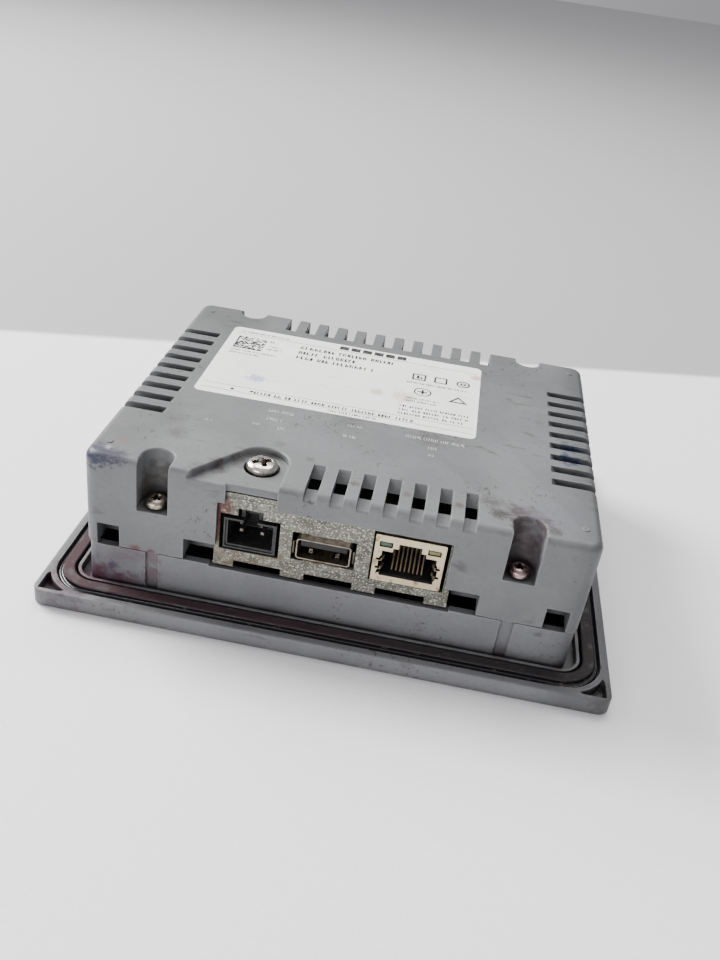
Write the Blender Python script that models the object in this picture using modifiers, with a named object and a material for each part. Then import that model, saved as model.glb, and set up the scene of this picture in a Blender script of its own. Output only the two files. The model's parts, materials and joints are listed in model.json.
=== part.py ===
"""Small operator touch panel for a control cabinet, lying on its front.

The frame is +Z towards the rear cover, -Y towards the connector side, and the origin in the middle of the
front face. Every size below is in millimetres; piece() turns the finished shape into metres.
"""

import math

import bmesh
import bpy
from mathutils import Matrix, Vector

MM = 0.001
GAP = 0.3  # between pieces that touch on the real object
THROUGH = 1.0  # how far a cutter runs past the face that it opens

# Front frame: a bezel with a collar behind it that goes through the cabinet's cut-out.
BEZEL_X, BEZEL_Y, BEZEL_H, BEZEL_R = 70.5, 58.0, 4.6, 3.0
GROOVE_X, GROOVE_Y, GROOVE_R, GROOVE_FLOOR = 68.4, 55.9, 11.0, 2.4
RIB_X, RIB_Y, RIB_R, RIB_TOP, RIB_WALL = 63.2, 50.7, 5.6, 5.0, 0.8
COLLAR_X, COLLAR_FRONT, COLLAR_BACK, COLLAR_R = 60.0, -48.7, 49.5, 4.0
COLLAR_TOP, WALL = 14.9, 2.0
COLLAR_DIP_X, COLLAR_DIP_TOP = 29.3, 14.4  # lower in the middle of the connector side
COLLAR_NOTCH_W, COLLAR_NOTCH_D = 3.1, 0.7
FACE_FLOOR, PLATE_TOP = 1.4, 3.4  # the plate that carries the display, from front to rear
FILM_X, FILM_Y, FILM_R = 67.0, 54.5, 2.5
FILM_FRONT, FILM_BACK = 0.7, 1.1
SEAL_LIP_TOP, SEAL_TOP, SEAL_LIP_W, SEAL_GAP, SEAL_FILLET = 4.0, 5.3, 1.0, 0.4, 0.5
CORNER_POCKET_WALL, CORNER_POCKET_LEG, CORNER_POCKET_FLOOR = 1.4, 5.6, 1.8

# Display and touch glass.
SCREEN_Y = 10.5
WINDOW_X, WINDOW_HALF_Y = 48.5, 28.0
TOUCH_X, TOUCH_HALF_Y, TOUCH_BACK = 51.1, 32.1, 3.2
DISPLAY_X, DISPLAY_HALF_Y, DISPLAY_FRONT, DISPLAY_BACK = 52.75, 33.6, 3.7, 7.2

# Function keys, numbered from -X to +X.
KEY_XS = (-37.5, -12.5, 12.5, 37.5)
KEY_Y, KEY_HALF_X, KEY_HALF_Y = -35.5, 9.5, 5.0
KEY_FRONT, KEY_FLANGE_FRONT, KEY_FLANGE_BACK, KEY_FLANGE_EXTRA = 0.3, 3.7, 4.5, 0.8
SWITCH_HALF, SWITCH_FRONT, SWITCH_BACK = 3.0, 5.6, 8.5
SWITCH_BUTTON_R, SWITCH_BUTTON_BACK, SWITCH_BORE_R, SWITCH_BORE_END = 1.6, 7.0, 1.9, 7.6
KEY_BOARD_X, KEY_BOARD_HALF_Y, KEY_BOARD_FRONT, KEY_BOARD_BACK = 53.0, 5.0, 8.8, 10.0
STAKE_X, STAKE_R, STAKE_PIN_R, STAKE_PIN_RISE = 50.6, 2.4, 0.9, 0.8

# Rear cover.
CASE_X, CASE_FRONT, CASE_BACK, CASE_R = 60.2, -48.9, 49.8, 3.4
CASE_LOW, CASE_TOP, CASE_FILLET = 15.2, 40.2, 2.0
CEILING = CASE_TOP - WALL
WELL_X, WELL_R, WELL_WALL, WELL_FLOOR, WELL_BASE = 43.4, 3.7, 1.4, 26.8, 24.8
FRONT_WELL_Y, BACK_WELL_Y = -44.9, 47.7  # centres of the round ends
FRONT_SCREW_Y, BACK_SCREW_Y = -45.4, 46.9
FRONT_BOSS_R, BACK_BOSS_R, BOSS_TOP = 2.6, 2.2, 24.4
BOSSES = [(x, y, radius) for x in (-WELL_X, WELL_X)
          for y, radius in ((FRONT_SCREW_Y, FRONT_BOSS_R), (BACK_SCREW_Y, BACK_BOSS_R))]
COVER_HEAD_R, COVER_HEAD_H, COVER_SHAFT_LENGTH = 2.6, 2.2, 12.0
CLIP_POCKET_TOP, CLIP_POCKET_DEPTH, CLIP_POCKET_WALL = 21.1, 6.0, 1.2
# Centre, width and inner wall along X, on each side. The chassis flange closes the second pair.
CLIP_POCKETS = ((54.2, 5.4, CLIP_POCKET_WALL), (32.3, 6.6, -0.1))
VENT_W, VENT_SLOPE = 3.0, 1.8
RAMP_RUN, RAMP_LOW, RAMP_MARGIN = 2.5, 37.5, 1.1  # the sloped inner ends of the front and side vents
FRONT_VENT_X, FRONT_VENT_PITCH, FRONT_VENT_COUNT = 11.6, 6.1, 7
FRONT_VENT_BACK, FRONT_VENT_LEDGE, FRONT_VENT_LOW = -35.6, -43.5, 34.0
SIDE_VENT_Y, SIDE_VENT_PITCH, SIDE_VENT_COUNT, SIDE_VENT_INNER, SIDE_VENT_LOW = 1.7, 6.2, 9, 48.7, 34.0
BACK_VENT_PITCH, BACK_VENT_COUNT, BACK_VENT_FRONT, BACK_VENT_LOW = 6.03, 11, 39.3, 30.0
PIMPLE_X, PIMPLE_YS, PIMPLE_R, PIMPLE_H = 56.0, (-42.2, 43.4), 0.85, 0.2
LABEL_LOW, LABEL_HIGH, LABEL_R, LABEL_H, LABEL_GAP = (-46.1, -9.3), (29.3, 35.3), 1.8, 0.1, 0.1

# Recess in the cover round the ground screw.
GROUND_X, GROUND_Y, GROUND_R, GROUND_FLOOR, GROUND_PLATE = -20.2, -38.4, 6.2, 38.2, 36.3
GROUND_START_X = -36.1
GROUND_HOLE_R, GROUND_HEAD_R, GROUND_HEAD_LOW, GROUND_HEAD_TOP = 4.1, 3.75, 37.35, 40.3
GROUND_SHAFT_R, GROUND_SHAFT_LOW = 2.0, 29.4
LIP_LEFT, LIP_RIGHT, LIP_FRONT = -26.1, GROUND_X + GROUND_R, -47.9
THICK_LEDGE, THICK_RECESS, THICK_RECESS_BACK = (-14.0, 35.0), (-37.6, -12.5), -30.5

# Window for the connectors, in the cover's front wall.
OPENING_LEFT, OPENING_RIGHT, OPENING_TOP, OPENING_STEP = -27.9, 27.3, 33.7, 33.3
SKIN_FRONT = 0.8  # the wall left in front of the chassis flange

# Sheet-metal chassis.
SHEET = 1.0
FLANGE_X, FLANGE_FRONT, FLANGE_TOP = 28.7, -47.8, 34.7
BASE_LOW = 14.8
BASE_X, BASE_FRONT, BASE_BACK, BASE_TONGUE_BACK = 57.5, -40.0, 41.0, 46.0
TAB_LEFT, TAB_RIGHT, TAB_BACK, TAB_TOP = -28.0, -12.8, -31.6, 36.0
BEND_SLOTS = ((-23.5, -12.0), (-6.2, 5.5), (11.2, 23.0))
BEND_SLOT_TOP = 16.7
CHASSIS_SCREWS = ((-55.5, -28.0), (55.5, -28.0), (-55.5, 28.0), (55.5, 28.0))
POST_R = 2.3  # posts of the front frame under the chassis screws
STANDOFF_R, STANDOFF_TOP = 2.6, 17.2
TAB_BOSS_R, TAB_BOSS_DEPTH = 3.4, 2.2
EASE = 0.02  # keeps faces of joined shapes from lying in one plane
POWER_HOLE = [(-27.2, 19.8), (-12.9, 19.8), (-12.9, 29.9), (-17.1, 29.9),
              (-17.1, 31.9), (-23.0, 31.9), (-23.0, 29.9), (-27.2, 29.9)]
USB_HOLE = ((-9.8, 20.6), (5.4, 28.4))
JACK_HOLE_LEFT, JACK_HOLE_RIGHT = 0.4, 0.8  # beyond the jack's shell
JACK_HOLE_LOW, JACK_HOLE_HIGH = 0.4, 0.6
RIBBON_SLOTS = (((39.4, -4.0), (42.6, 24.0)), ((-42.6, -37.5), (-39.4, -29.5)))

# Flat cables from the front's parts, through the chassis, to the main board.
RIBBON_X, RIBBON_BEND, RIBBON_TOP, RIBBON_H = 41.0, 2.2, 22.0, 0.3

# Main board.
BOARD_LOW, BOARD_TOP = 17.5, 19.1
BOARD_X, BOARD_NOSE_X, BOARD_FRONT, BOARD_NOSE_Y, BOARD_BACK = 38.5, 28.4, -46.3, -38.0, 40.0
BOARD_SCREWS = ((-35.0, -26.0), (35.0, -26.0), (-35.0, 35.5), (35.0, 35.5))

# Screws that hold plastic and boards.
SHAFT_R, BORE_R, HOLE_R = 1.2, 1.5, 1.6
HEAD_R, HEAD_H = 2.4, 1.7

# Connectors.
HEADER_LEFT, HEADER_RIGHT, HEADER_LOW, HEADER_TOP = -26.5, -13.7, 20.0, 28.6
HEADER_FRONT, HEADER_SOCKET_END, HEADER_BACK, HEADER_WALL = -47.4, -38.4, -36.0, 1.0
HEADER_KEY_LEFT, HEADER_KEY_RIGHT, HEADER_KEY_TOP, HEADER_KEY_BACK = -22.7, -17.4, 31.4, -41.5
HEADER_KEY_DEPTH = 5.0
PIN_XS = (("power_pin_plus", -22.64), ("power_pin_minus", -17.56))
PIN_Z, PIN_HALF, PIN_FRONT, PIN_BACK = 24.0, 0.5, -45.0, -37.0
USB_LEFT, USB_RIGHT, USB_LOW, USB_TOP = -8.75, 4.35, 21.2, 26.9
USB_FRONT, USB_BACK, USB_WALL, USB_FILLET = -48.0, -34.5, 0.35, 0.6
TONGUE_HALF_X, TONGUE_LOW, TONGUE_TOP, TONGUE_FRONT = 5.6, 24.35, 26.15, -47.2
TONGUE_BACK, TONGUE_BASE_LOW, TONGUE_BASE_FRONT = -36.0, 21.9, -38.0
USB_CONTACT_XS, USB_CONTACT_HALF, USB_CONTACT_H = (-3.5, -1.0, 1.0, 3.5), 0.5, 0.25
USB_CONTACT_FRONT, USB_CONTACT_BACK, USB_CONTACT_TOP = -46.2, -38.5, 24.25
JACK_LEFT, JACK_RIGHT, JACK_LOW, JACK_TOP = 9.5, 26.1, 19.4, 32.5
JACK_FRONT, JACK_BACK, JACK_SHEET, JACK_CLEARANCE = -48.2, -33.0, 0.4, 0.15
SOCKET_X, SOCKET_LOW, SOCKET_TOP, SOCKET_END = 6.2, 21.3, 28.1, -36.5
LATCH_STEPS = ((3.7, 29.2), (2.5, 30.6))  # half width and top of the socket's two steps
LIGHT_OUT, LIGHT_IN, LIGHT_LOW, LIGHT_TOP, LIGHT_DEPTH = 7.0, 4.3, 29.4, 30.5, 3.7
CONTACT_COUNT, CONTACT_PITCH, CONTACT_HALF, CONTACT_H = 8, 1.02, 0.18, 0.36
CONTACT_PATH = [(-46.1, 21.7), (-40.0, 25.2), (-37.2, 25.9)]
CARRIER_FRONT, CARRIER_BACK, CARRIER_LOW, CARRIER_TOP = -46.6, -45.6, 21.4, 22.0

COLOURS = {  # base colour, roughness, metallic
    "grey_plastic": ((0.36, 0.37, 0.375), 0.55, 0.0),
    "dark_film": ((0.05, 0.055, 0.06), 0.4, 0.0),
    "key_film": ((0.30, 0.31, 0.32), 0.45, 0.0),
    "black_rubber": ((0.02, 0.018, 0.018), 0.6, 0.0),
    "clear_glass": ((0.10, 0.11, 0.12), 0.08, 0.0),
    "display_black": ((0.015, 0.016, 0.02), 0.2, 0.0),
    "zinc_sheet": ((0.50, 0.49, 0.44), 0.45, 1.0),
    "nickel_screw": ((0.72, 0.70, 0.66), 0.25, 1.0),
    "jack_metal": ((0.75, 0.68, 0.52), 0.38, 1.0),
    "black_plastic": ((0.02, 0.02, 0.022), 0.45, 0.0),
    "white_label": ((0.86, 0.86, 0.84), 0.35, 0.0),
    "board_green": ((0.03, 0.16, 0.07), 0.4, 0.0),
    "gold_contact": ((0.80, 0.60, 0.28), 0.3, 1.0),
    "green_lens": ((0.20, 0.28, 0.16), 0.3, 0.0),
    "yellow_lens": ((0.42, 0.38, 0.16), 0.3, 0.0),
    "ribbon_white": ((0.78, 0.78, 0.76), 0.5, 0.0),
}


# ---------------------------------------------------------------- scene and materials

def clear_scene():
    for obj in list(bpy.data.objects):
        bpy.data.objects.remove(obj, do_unlink=True)


def new_collection(name):
    collection = bpy.data.collections.new(name)
    bpy.context.scene.collection.children.link(collection)
    return collection


def make_material(name, colour, roughness, metallic):
    material = bpy.data.materials.new(name)
    material.use_nodes = True
    shader = material.node_tree.nodes["Principled BSDF"]
    shader.inputs["Base Color"].default_value = (*colour, 1.0)
    shader.inputs["Roughness"].default_value = roughness
    shader.inputs["Metallic"].default_value = metallic
    return material


# ---------------------------------------------------------------- shapes, as bmeshes in millimetres

def box(low, high, round_by=0.0, steps=2):
    """A box between two corners, with every edge rounded if round_by is given."""
    low, high = Vector(low), Vector(high)
    matrix = Matrix.Translation((low + high) / 2) @ Matrix.Diagonal((*(high - low), 1))
    bm = bmesh.new()
    bmesh.ops.create_cube(bm, size=1, matrix=matrix)
    if round_by:
        bmesh.ops.bevel(bm, geom=bm.edges[:], offset=round_by, segments=steps, affect="EDGES", profile=0.5)
    return bm


def cylinder(x, y, radius, low, high, steps=16):
    matrix = Matrix.Translation((x, y, (low + high) / 2))
    bm = bmesh.new()
    bmesh.ops.create_cone(bm, cap_ends=True, segments=steps, radius1=radius, radius2=radius,
                          depth=high - low, matrix=matrix)
    return bm


# Where an outline's two coordinates and its depth go, for a prism along each axis.
PRISM_AXES = {
    "X": Matrix(((0, 0, 1, 0), (1, 0, 0, 0), (0, 1, 0, 0), (0, 0, 0, 1))),
    "Y": Matrix(((1, 0, 0, 0), (0, 0, 1, 0), (0, 1, 0, 0), (0, 0, 0, 1))),
    "Z": Matrix.Identity(4),
}
CLOSE = 1e-4


def prism(outlines, low, high, axis="Z"):
    """A straight solid from low to high along an axis.

    The first outline is the outside and the rest are holes. An outline's points are (x, y) for a prism
    along Z, (y, z) along X and (x, z) along Y.
    """
    if not isinstance(outlines[0], list):
        outlines = [outlines]
    curve = bpy.data.curves.new("outline", "CURVE")
    curve.dimensions = "2D"
    curve.fill_mode = "BOTH"
    curve.extrude = (high - low) / 2
    for outline in outlines:
        spline = curve.splines.new("POLY")
        spline.points.add(len(outline) - 1)
        for point, (u, v) in zip(spline.points, outline):
            point.co = (u, v, 0, 1)
        spline.use_cyclic_u = True
    guide = bpy.data.objects.new("outline", curve)
    bpy.context.scene.collection.objects.link(guide)
    mesh = bpy.data.meshes.new_from_object(guide.evaluated_get(bpy.context.evaluated_depsgraph_get()))
    bm = bmesh.new()
    bm.from_mesh(mesh)
    bpy.data.objects.remove(guide)
    bpy.data.curves.remove(curve)
    bpy.data.meshes.remove(mesh)
    bmesh.ops.remove_doubles(bm, verts=bm.verts[:], dist=CLOSE)
    bmesh.ops.dissolve_limit(bm, angle_limit=math.radians(1), verts=[], edges=bm.edges[:])
    matrix = PRISM_AXES[axis] @ Matrix.Translation((0, 0, (low + high) / 2))
    bmesh.ops.transform(bm, matrix=matrix, verts=bm.verts[:])
    bmesh.ops.recalc_face_normals(bm, faces=bm.faces[:])
    return bm


def arc(x, y, radius, start, end, steps):
    """Points on an arc, from the start angle to the end angle in degrees."""
    angles = [math.radians(start + (end - start) * i / steps) for i in range(steps + 1)]
    return [(x + radius * math.cos(a), y + radius * math.sin(a)) for a in angles]


def rounded_rectangle(half_x, low_y, high_y, radius, steps=5, shrink=0.0):
    """An outline with round corners, centred on x = 0, moved inwards by shrink."""
    x, low, high, r = half_x - shrink, low_y + shrink, high_y - shrink, max(radius - shrink, 0.4)
    points = []
    centres = ((x - r, low + r), (x - r, high - r), (r - x, high - r), (r - x, low + r))
    for quarter, centre in enumerate(centres):
        points += arc(*centre, r, 90 * quarter - 90, 90 * quarter, steps)
    return points


def centred(middle, pitch, count):
    return [middle + pitch * (i - (count - 1) / 2) for i in range(count)]


VENT_XS = centred(FRONT_VENT_X, FRONT_VENT_PITCH, FRONT_VENT_COUNT)
VENT_YS = centred(SIDE_VENT_Y, SIDE_VENT_PITCH, SIDE_VENT_COUNT)


def slot_outline(x, y, radius, open_y, steps=8):
    """A round-ended slot that runs from its round end at y out to open_y."""
    turn = 1 if open_y < y else -1
    ends = arc(x, y, radius, 0, 180 * turn, steps)
    return [(x + radius, open_y)] + ends + [(x - radius, open_y)]


def fillet(bm, radius, steps, chosen):
    """Rounds the edges that pass the test."""
    edges = [edge for edge in bm.edges if chosen(*[vert.co for vert in edge.verts])]
    bmesh.ops.bevel(bm, geom=edges, offset=radius, segments=steps, affect="EDGES", profile=0.5)
    return bm


def together(*shapes):
    """Several shapes that don't touch, in one bmesh."""
    bm = bmesh.new()
    for shape in shapes:
        mesh = bpy.data.meshes.new("part")
        shape.to_mesh(mesh)
        bm.from_mesh(mesh)
        shape.free()
        bpy.data.meshes.remove(mesh)
    return bm


# ---------------------------------------------------------------- objects

def to_object(name, bm, collection, origin=(0, 0, 0)):
    """Turns a bmesh in millimetres into an object in metres, with its origin at a point."""
    origin = Vector(origin)
    bmesh.ops.transform(bm, matrix=Matrix.Scale(MM, 4) @ Matrix.Translation(-origin), verts=bm.verts[:])
    mesh = bpy.data.meshes.new(name)
    bm.to_mesh(mesh)
    bm.free()
    mesh.shade_smooth()
    mesh.set_sharp_from_angle(angle=math.radians(30))
    obj = bpy.data.objects.new(name, mesh)
    obj.location = origin * MM
    collection.objects.link(obj)
    return obj


def piece(name, bm, material, origin=(0, 0, 0)):
    obj = to_object(name, bm, PANEL, origin)
    obj.data.materials.append(MATERIALS[material])
    return obj


def combine(obj, bm, operation):
    helper = to_object(f"{obj.name}_{operation.lower()}_{len(obj.modifiers)}", bm, CUTTERS)
    helper.hide_render = True
    helper.display_type = "WIRE"
    modifier = obj.modifiers.new(helper.name, "BOOLEAN")
    modifier.operation = operation
    modifier.object = helper


def cut(obj, *shapes):
    for shape in shapes:
        combine(obj, shape, "DIFFERENCE")


def join(obj, *shapes):
    for shape in shapes:
        combine(obj, shape, "UNION")


def turned(name, profile, material, origin, steps=16):
    """A turned piece about Z. The profile is (radius, height), from the top of its axis to the bottom."""
    mesh = bpy.data.meshes.new(name)
    points = [(r * MM, 0, z * MM) for r, z in profile]
    mesh.from_pydata(points, [(i, i + 1) for i in range(len(points) - 1)], [])
    obj = bpy.data.objects.new(name, mesh)
    obj.location = Vector(origin) * MM
    PANEL.objects.link(obj)
    mesh.materials.append(MATERIALS[material])
    screw = obj.modifiers.new("turn", "SCREW")
    screw.angle = math.tau
    screw.steps = steps
    screw.render_steps = steps
    screw.use_merge_vertices = True
    screw.merge_threshold = 1e-5
    screw.use_normal_calculate = True
    return obj


def cross_outline(x, y, reach, half_width, turn):
    """The plus-shaped outline of a cross recess, turned by an angle in degrees."""
    inner = math.hypot(half_width, half_width)
    tip, spread = math.hypot(reach, half_width), math.degrees(math.atan2(half_width, reach))
    points = []
    for arm in range(4):
        for radius, offset in ((tip, -spread), (tip, spread), (inner, 45)):
            angle = math.radians(90 * arm + offset + turn)
            points.append((x + radius * math.cos(angle), y + radius * math.sin(angle)))
    return points


def pan_head_screw(name, x, y, head_low, head_top, head_r, shaft_r, shaft_low, turn, steps=16, dome=3):
    """A pan-head screw, standing with its head up. turn is the angle of its cross recess in degrees."""
    edge = head_low + 0.45 * (head_top - head_low)
    curve = arc(0, 0, 1, 90, 0, dome)
    profile = [(head_r * u, edge - head_low + (head_top - edge) * v) for u, v in curve]
    profile[0] = (0, head_top - head_low)
    profile += [(head_r, 0), (shaft_r, 0), (shaft_r, shaft_low - head_low), (0, shaft_low - head_low)]
    screw = turned(name, profile, "nickel_screw", (x, y, head_low), steps)
    depth = 0.55 * (head_top - head_low)
    recess = cross_outline(x, y, 0.52 * head_r, 0.14 * head_r, turn)
    cut(screw, prism(recess, head_top - depth, head_top + THROUGH))
    return screw


# ---------------------------------------------------------------- front frame, film, seal, display

def collar_outline(shrink=0.0):
    return rounded_rectangle(COLLAR_X, COLLAR_FRONT, COLLAR_BACK, COLLAR_R, 5, shrink)


def rib_outline(shrink=0.0):
    return rounded_rectangle(RIB_X, -RIB_Y, RIB_Y, RIB_R, 6, shrink)


def groove_outline(shrink=0.0):
    return rounded_rectangle(GROOVE_X, -GROOVE_Y, GROOVE_Y, GROOVE_R, 9, shrink)


def corner_pocket(side_x, side_y):
    """The three-cornered pocket behind one corner of the bezel, whose long side follows the seal groove."""
    x, y = BEZEL_X - CORNER_POCKET_WALL, BEZEL_Y - CORNER_POCKET_WALL
    rim = GROOVE_R + CORNER_POCKET_WALL
    cx, cy = GROOVE_X - GROOVE_R, GROOVE_Y - GROOVE_R
    bend = arc(cx, cy, rim, 68, 22, 4)
    bend = [(min(u, x), min(v, y)) for u, v in bend]
    outline = [(x - CORNER_POCKET_LEG, y)] + bend[1:-1] + [(x, y - CORNER_POCKET_LEG), (x, y)]
    outline = [(u * side_x, v * side_y) for u, v in outline]
    return prism(outline, CORNER_POCKET_FLOOR, BEZEL_H + THROUGH)


def front_frame():
    slab = prism(rounded_rectangle(BEZEL_X, -BEZEL_Y, BEZEL_Y, BEZEL_R, 5), 0, BEZEL_H)
    fillet(slab, 0.5, 2, lambda a, b: abs(a.z - b.z) < CLOSE)
    frame = piece("front_frame", slab, "grey_plastic")
    film = rounded_rectangle(FILM_X, -FILM_Y, FILM_Y, FILM_R, 4, -GAP)
    cut(frame, prism(film, -THROUGH, FACE_FLOOR))
    cut(frame, prism(groove_outline(), GROOVE_FLOOR, BEZEL_H + THROUGH))
    root = GROOVE_FLOOR - 0.5
    join(frame, prism([rib_outline(), rib_outline(RIB_WALL)], root, RIB_TOP))
    join(frame, prism([collar_outline(), collar_outline(WALL)], root, COLLAR_TOP))
    join(frame, prism(collar_outline(WALL / 2), root, PLATE_TOP))
    for x, y, radius in BOSSES:
        join(frame, cylinder(x, y, radius, PLATE_TOP - 1, BOSS_TOP))
    bores = [cylinder(x, y, BORE_R, PLATE_TOP + 1, BOSS_TOP + THROUGH, 12) for x, y, _ in BOSSES]
    posts = [cylinder(x, y, POST_R, PLATE_TOP - 1, BASE_LOW - GAP, 12) for x, y in CHASSIS_SCREWS]
    bores += [cylinder(x, y, BORE_R, PLATE_TOP + 1, BASE_LOW + THROUGH, 12) for x, y in CHASSIS_SCREWS]
    stakes, pins = [], []
    for x in (-STAKE_X, STAKE_X):
        stakes.append(cylinder(x, KEY_Y, STAKE_R, PLATE_TOP - 1, KEY_BOARD_FRONT - GAP, 12))
        pins.append(cylinder(x, KEY_Y, STAKE_PIN_R, PLATE_TOP - 0.5, KEY_BOARD_BACK + STAKE_PIN_RISE, 10))
    join(frame, together(*posts), together(*stakes), together(*pins))
    cut(frame, together(*bores))
    x, half_y = TOUCH_X + GAP, TOUCH_HALF_Y + GAP
    cut(frame, box((-x, SCREEN_Y - half_y, 0), (x, SCREEN_Y + half_y, PLATE_TOP + THROUGH)))
    cut(frame, together(*[key_window(x, FACE_FLOOR - THROUGH, PLATE_TOP + THROUGH) for x in KEY_XS]))
    cut(frame, together(*[corner_pocket(sx, sy) for sx in (-1, 1) for sy in (-1, 1)]))
    high = COLLAR_TOP + THROUGH
    half, notches = COLLAR_NOTCH_W / 2, []
    for x in (-WELL_X, WELL_X):
        for edge, out in ((COLLAR_FRONT, -1), (COLLAR_BACK, 1)):
            ys = sorted((edge - out * COLLAR_NOTCH_D, edge + out * THROUGH))
            notches.append(box((x - half, ys[0], GROOVE_FLOOR + 0.6), (x + half, ys[1], high)))
    cut(frame, together(*notches))
    cut(frame, box((-COLLAR_DIP_X, COLLAR_FRONT - THROUGH, COLLAR_DIP_TOP),
                   (COLLAR_DIP_X, COLLAR_FRONT + WALL + THROUGH, high)))


def key_window(x, low, high):
    """The opening round one key, with the key's running gap."""
    hx, hy = KEY_HALF_X + GAP, KEY_HALF_Y + GAP
    return box((x - hx, KEY_Y - hy, low), (x + hx, KEY_Y + hy, high))


def overlay_film():
    """The film over the frame's face, with openings for the screen and the keys."""
    outline = rounded_rectangle(FILM_X, -FILM_Y, FILM_Y, FILM_R, 4)
    film = piece("overlay_film", prism(outline, FILM_FRONT, FILM_BACK), "dark_film")
    high = FILM_BACK + THROUGH
    cut(film, box((-WINDOW_X, SCREEN_Y - WINDOW_HALF_Y, 0), (WINDOW_X, SCREEN_Y + WINDOW_HALF_Y, high)))
    cut(film, together(*[key_window(x, 0, high) for x in KEY_XS]))


def mounting_seal():
    """The foam seal in the groove: a low outer lip and a taller rounded ridge."""
    inner = rib_outline(-SEAL_GAP)
    lip = prism([groove_outline(SEAL_GAP), inner], GROOVE_FLOOR + GAP, SEAL_LIP_TOP)
    seal = piece("mounting_seal", lip, "black_rubber")
    ridge = prism(groove_outline(SEAL_GAP + SEAL_LIP_W), SEAL_LIP_TOP - SEAL_GAP, SEAL_TOP)
    fillet(ridge, SEAL_FILLET, 2, lambda a, b: min(a.z, b.z) > SEAL_TOP - CLOSE)
    join(seal, ridge)
    cut(seal, prism(rib_outline(-SEAL_GAP - 0.3), SEAL_LIP_TOP - 2 * SEAL_GAP, SEAL_TOP + THROUGH))
    cut(seal, prism(inner, GROOVE_FLOOR, SEAL_LIP_TOP + SEAL_GAP))


def screen_box(half_x, half_y, front, back, round_by=0.0):
    """A box round the screen's centre."""
    return box((-half_x, SCREEN_Y - half_y, front), (half_x, SCREEN_Y + half_y, back), round_by, 1)


def display():
    piece("touch_glass", screen_box(TOUCH_X, TOUCH_HALF_Y, FACE_FLOOR, TOUCH_BACK), "clear_glass")
    module = screen_box(DISPLAY_X, DISPLAY_HALF_Y, DISPLAY_FRONT, DISPLAY_BACK, 0.3)
    piece("display_module", module, "display_black")


# ---------------------------------------------------------------- function keys

def key_box(x, half_x, half_y, front, back, round_by=0.0):
    """A box in the row of keys, centred on x."""
    return box((x - half_x, KEY_Y - half_y, front), (x + half_x, KEY_Y + half_y, back), round_by, 1)


def key(number, x):
    """A key cap with a flange that keeps it in, and the switch behind it. Cap and button press along +Z."""
    origin = (x, KEY_Y, KEY_FRONT)
    face = key_box(x, KEY_HALF_X, KEY_HALF_Y, KEY_FRONT, KEY_FLANGE_FRONT + 0.2, 0.25)
    cap = piece(f"key_cap_{number}", face, "key_film", origin)
    half_x, half_y = KEY_HALF_X + KEY_FLANGE_EXTRA, KEY_HALF_Y + KEY_FLANGE_EXTRA
    join(cap, key_box(x, half_x, half_y, KEY_FLANGE_FRONT, KEY_FLANGE_BACK))
    button = cylinder(x, KEY_Y, SWITCH_BUTTON_R, KEY_FLANGE_BACK + GAP, SWITCH_BUTTON_BACK)
    piece(f"switch_button_{number}", button, "black_plastic", origin)
    block = key_box(x, SWITCH_HALF, SWITCH_HALF, SWITCH_FRONT, SWITCH_BACK)
    body = piece(f"switch_body_{number}", block, "black_plastic")
    cut(body, cylinder(x, KEY_Y, SWITCH_BORE_R, SWITCH_FRONT - THROUGH, SWITCH_BORE_END))


def key_board():
    low, high = KEY_BOARD_FRONT, KEY_BOARD_BACK
    board = piece("key_board", key_box(0, KEY_BOARD_X, KEY_BOARD_HALF_Y, low, high), "board_green")
    radius = STAKE_PIN_R + GAP
    holes = [cylinder(x, KEY_Y, radius, low - THROUGH, high + THROUGH, 10) for x in (-STAKE_X, STAKE_X)]
    cut(board, together(*holes))


# ---------------------------------------------------------------- chassis and boards

def chassis():
    """Base plate, flange in front of the connectors and tab for the ground screw, bent from one sheet."""
    top = BASE_LOW + SHEET
    sheet = piece("chassis", box((-BASE_X, BASE_FRONT, BASE_LOW), (BASE_X, BASE_BACK, top)), "zinc_sheet")
    join(sheet, box((-FLANGE_X, FLANGE_FRONT, BASE_LOW), (FLANGE_X, BASE_TONGUE_BACK, top)))
    front, back = FLANGE_FRONT, FLANGE_FRONT + SHEET
    inset = 10 * EASE
    side = FLANGE_X - inset
    join(sheet, box((-side, front + EASE / 2, BASE_LOW + inset), (side, back, FLANGE_TOP)))
    join(sheet, box((TAB_LEFT, front + EASE, FLANGE_TOP - 2 * SHEET), (TAB_RIGHT, back - EASE, TAB_TOP)))
    join(sheet, box((TAB_LEFT, front + SHEET / 2, TAB_TOP - SHEET), (TAB_RIGHT, TAB_BACK, TAB_TOP - EASE)))
    tab_low = TAB_TOP - SHEET - TAB_BOSS_DEPTH
    join(sheet, cylinder(GROUND_X, GROUND_Y, TAB_BOSS_R, tab_low, TAB_TOP - SHEET / 2))
    standoffs = [cylinder(x, y, STANDOFF_R, top - 0.5, STANDOFF_TOP, 14) for x, y in BOARD_SCREWS]
    join(sheet, together(*standoffs))
    cut_flange(sheet, front - THROUGH, back + GAP)
    low, high = BASE_LOW - THROUGH, top + THROUGH
    bores = [cylinder(x, y, BORE_R, low, STANDOFF_TOP + THROUGH, 12) for x, y in BOARD_SCREWS]
    bores += [cylinder(x, y, HOLE_R, low, high, 12) for x, y in CHASSIS_SCREWS]
    bores.append(cylinder(GROUND_X, GROUND_Y, GROUND_SHAFT_R + GAP, tab_low - THROUGH, TAB_TOP + THROUGH))
    bores += [box((*start, low), (*end, high)) for start, end in RIBBON_SLOTS]
    cut(sheet, together(*bores))


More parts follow.
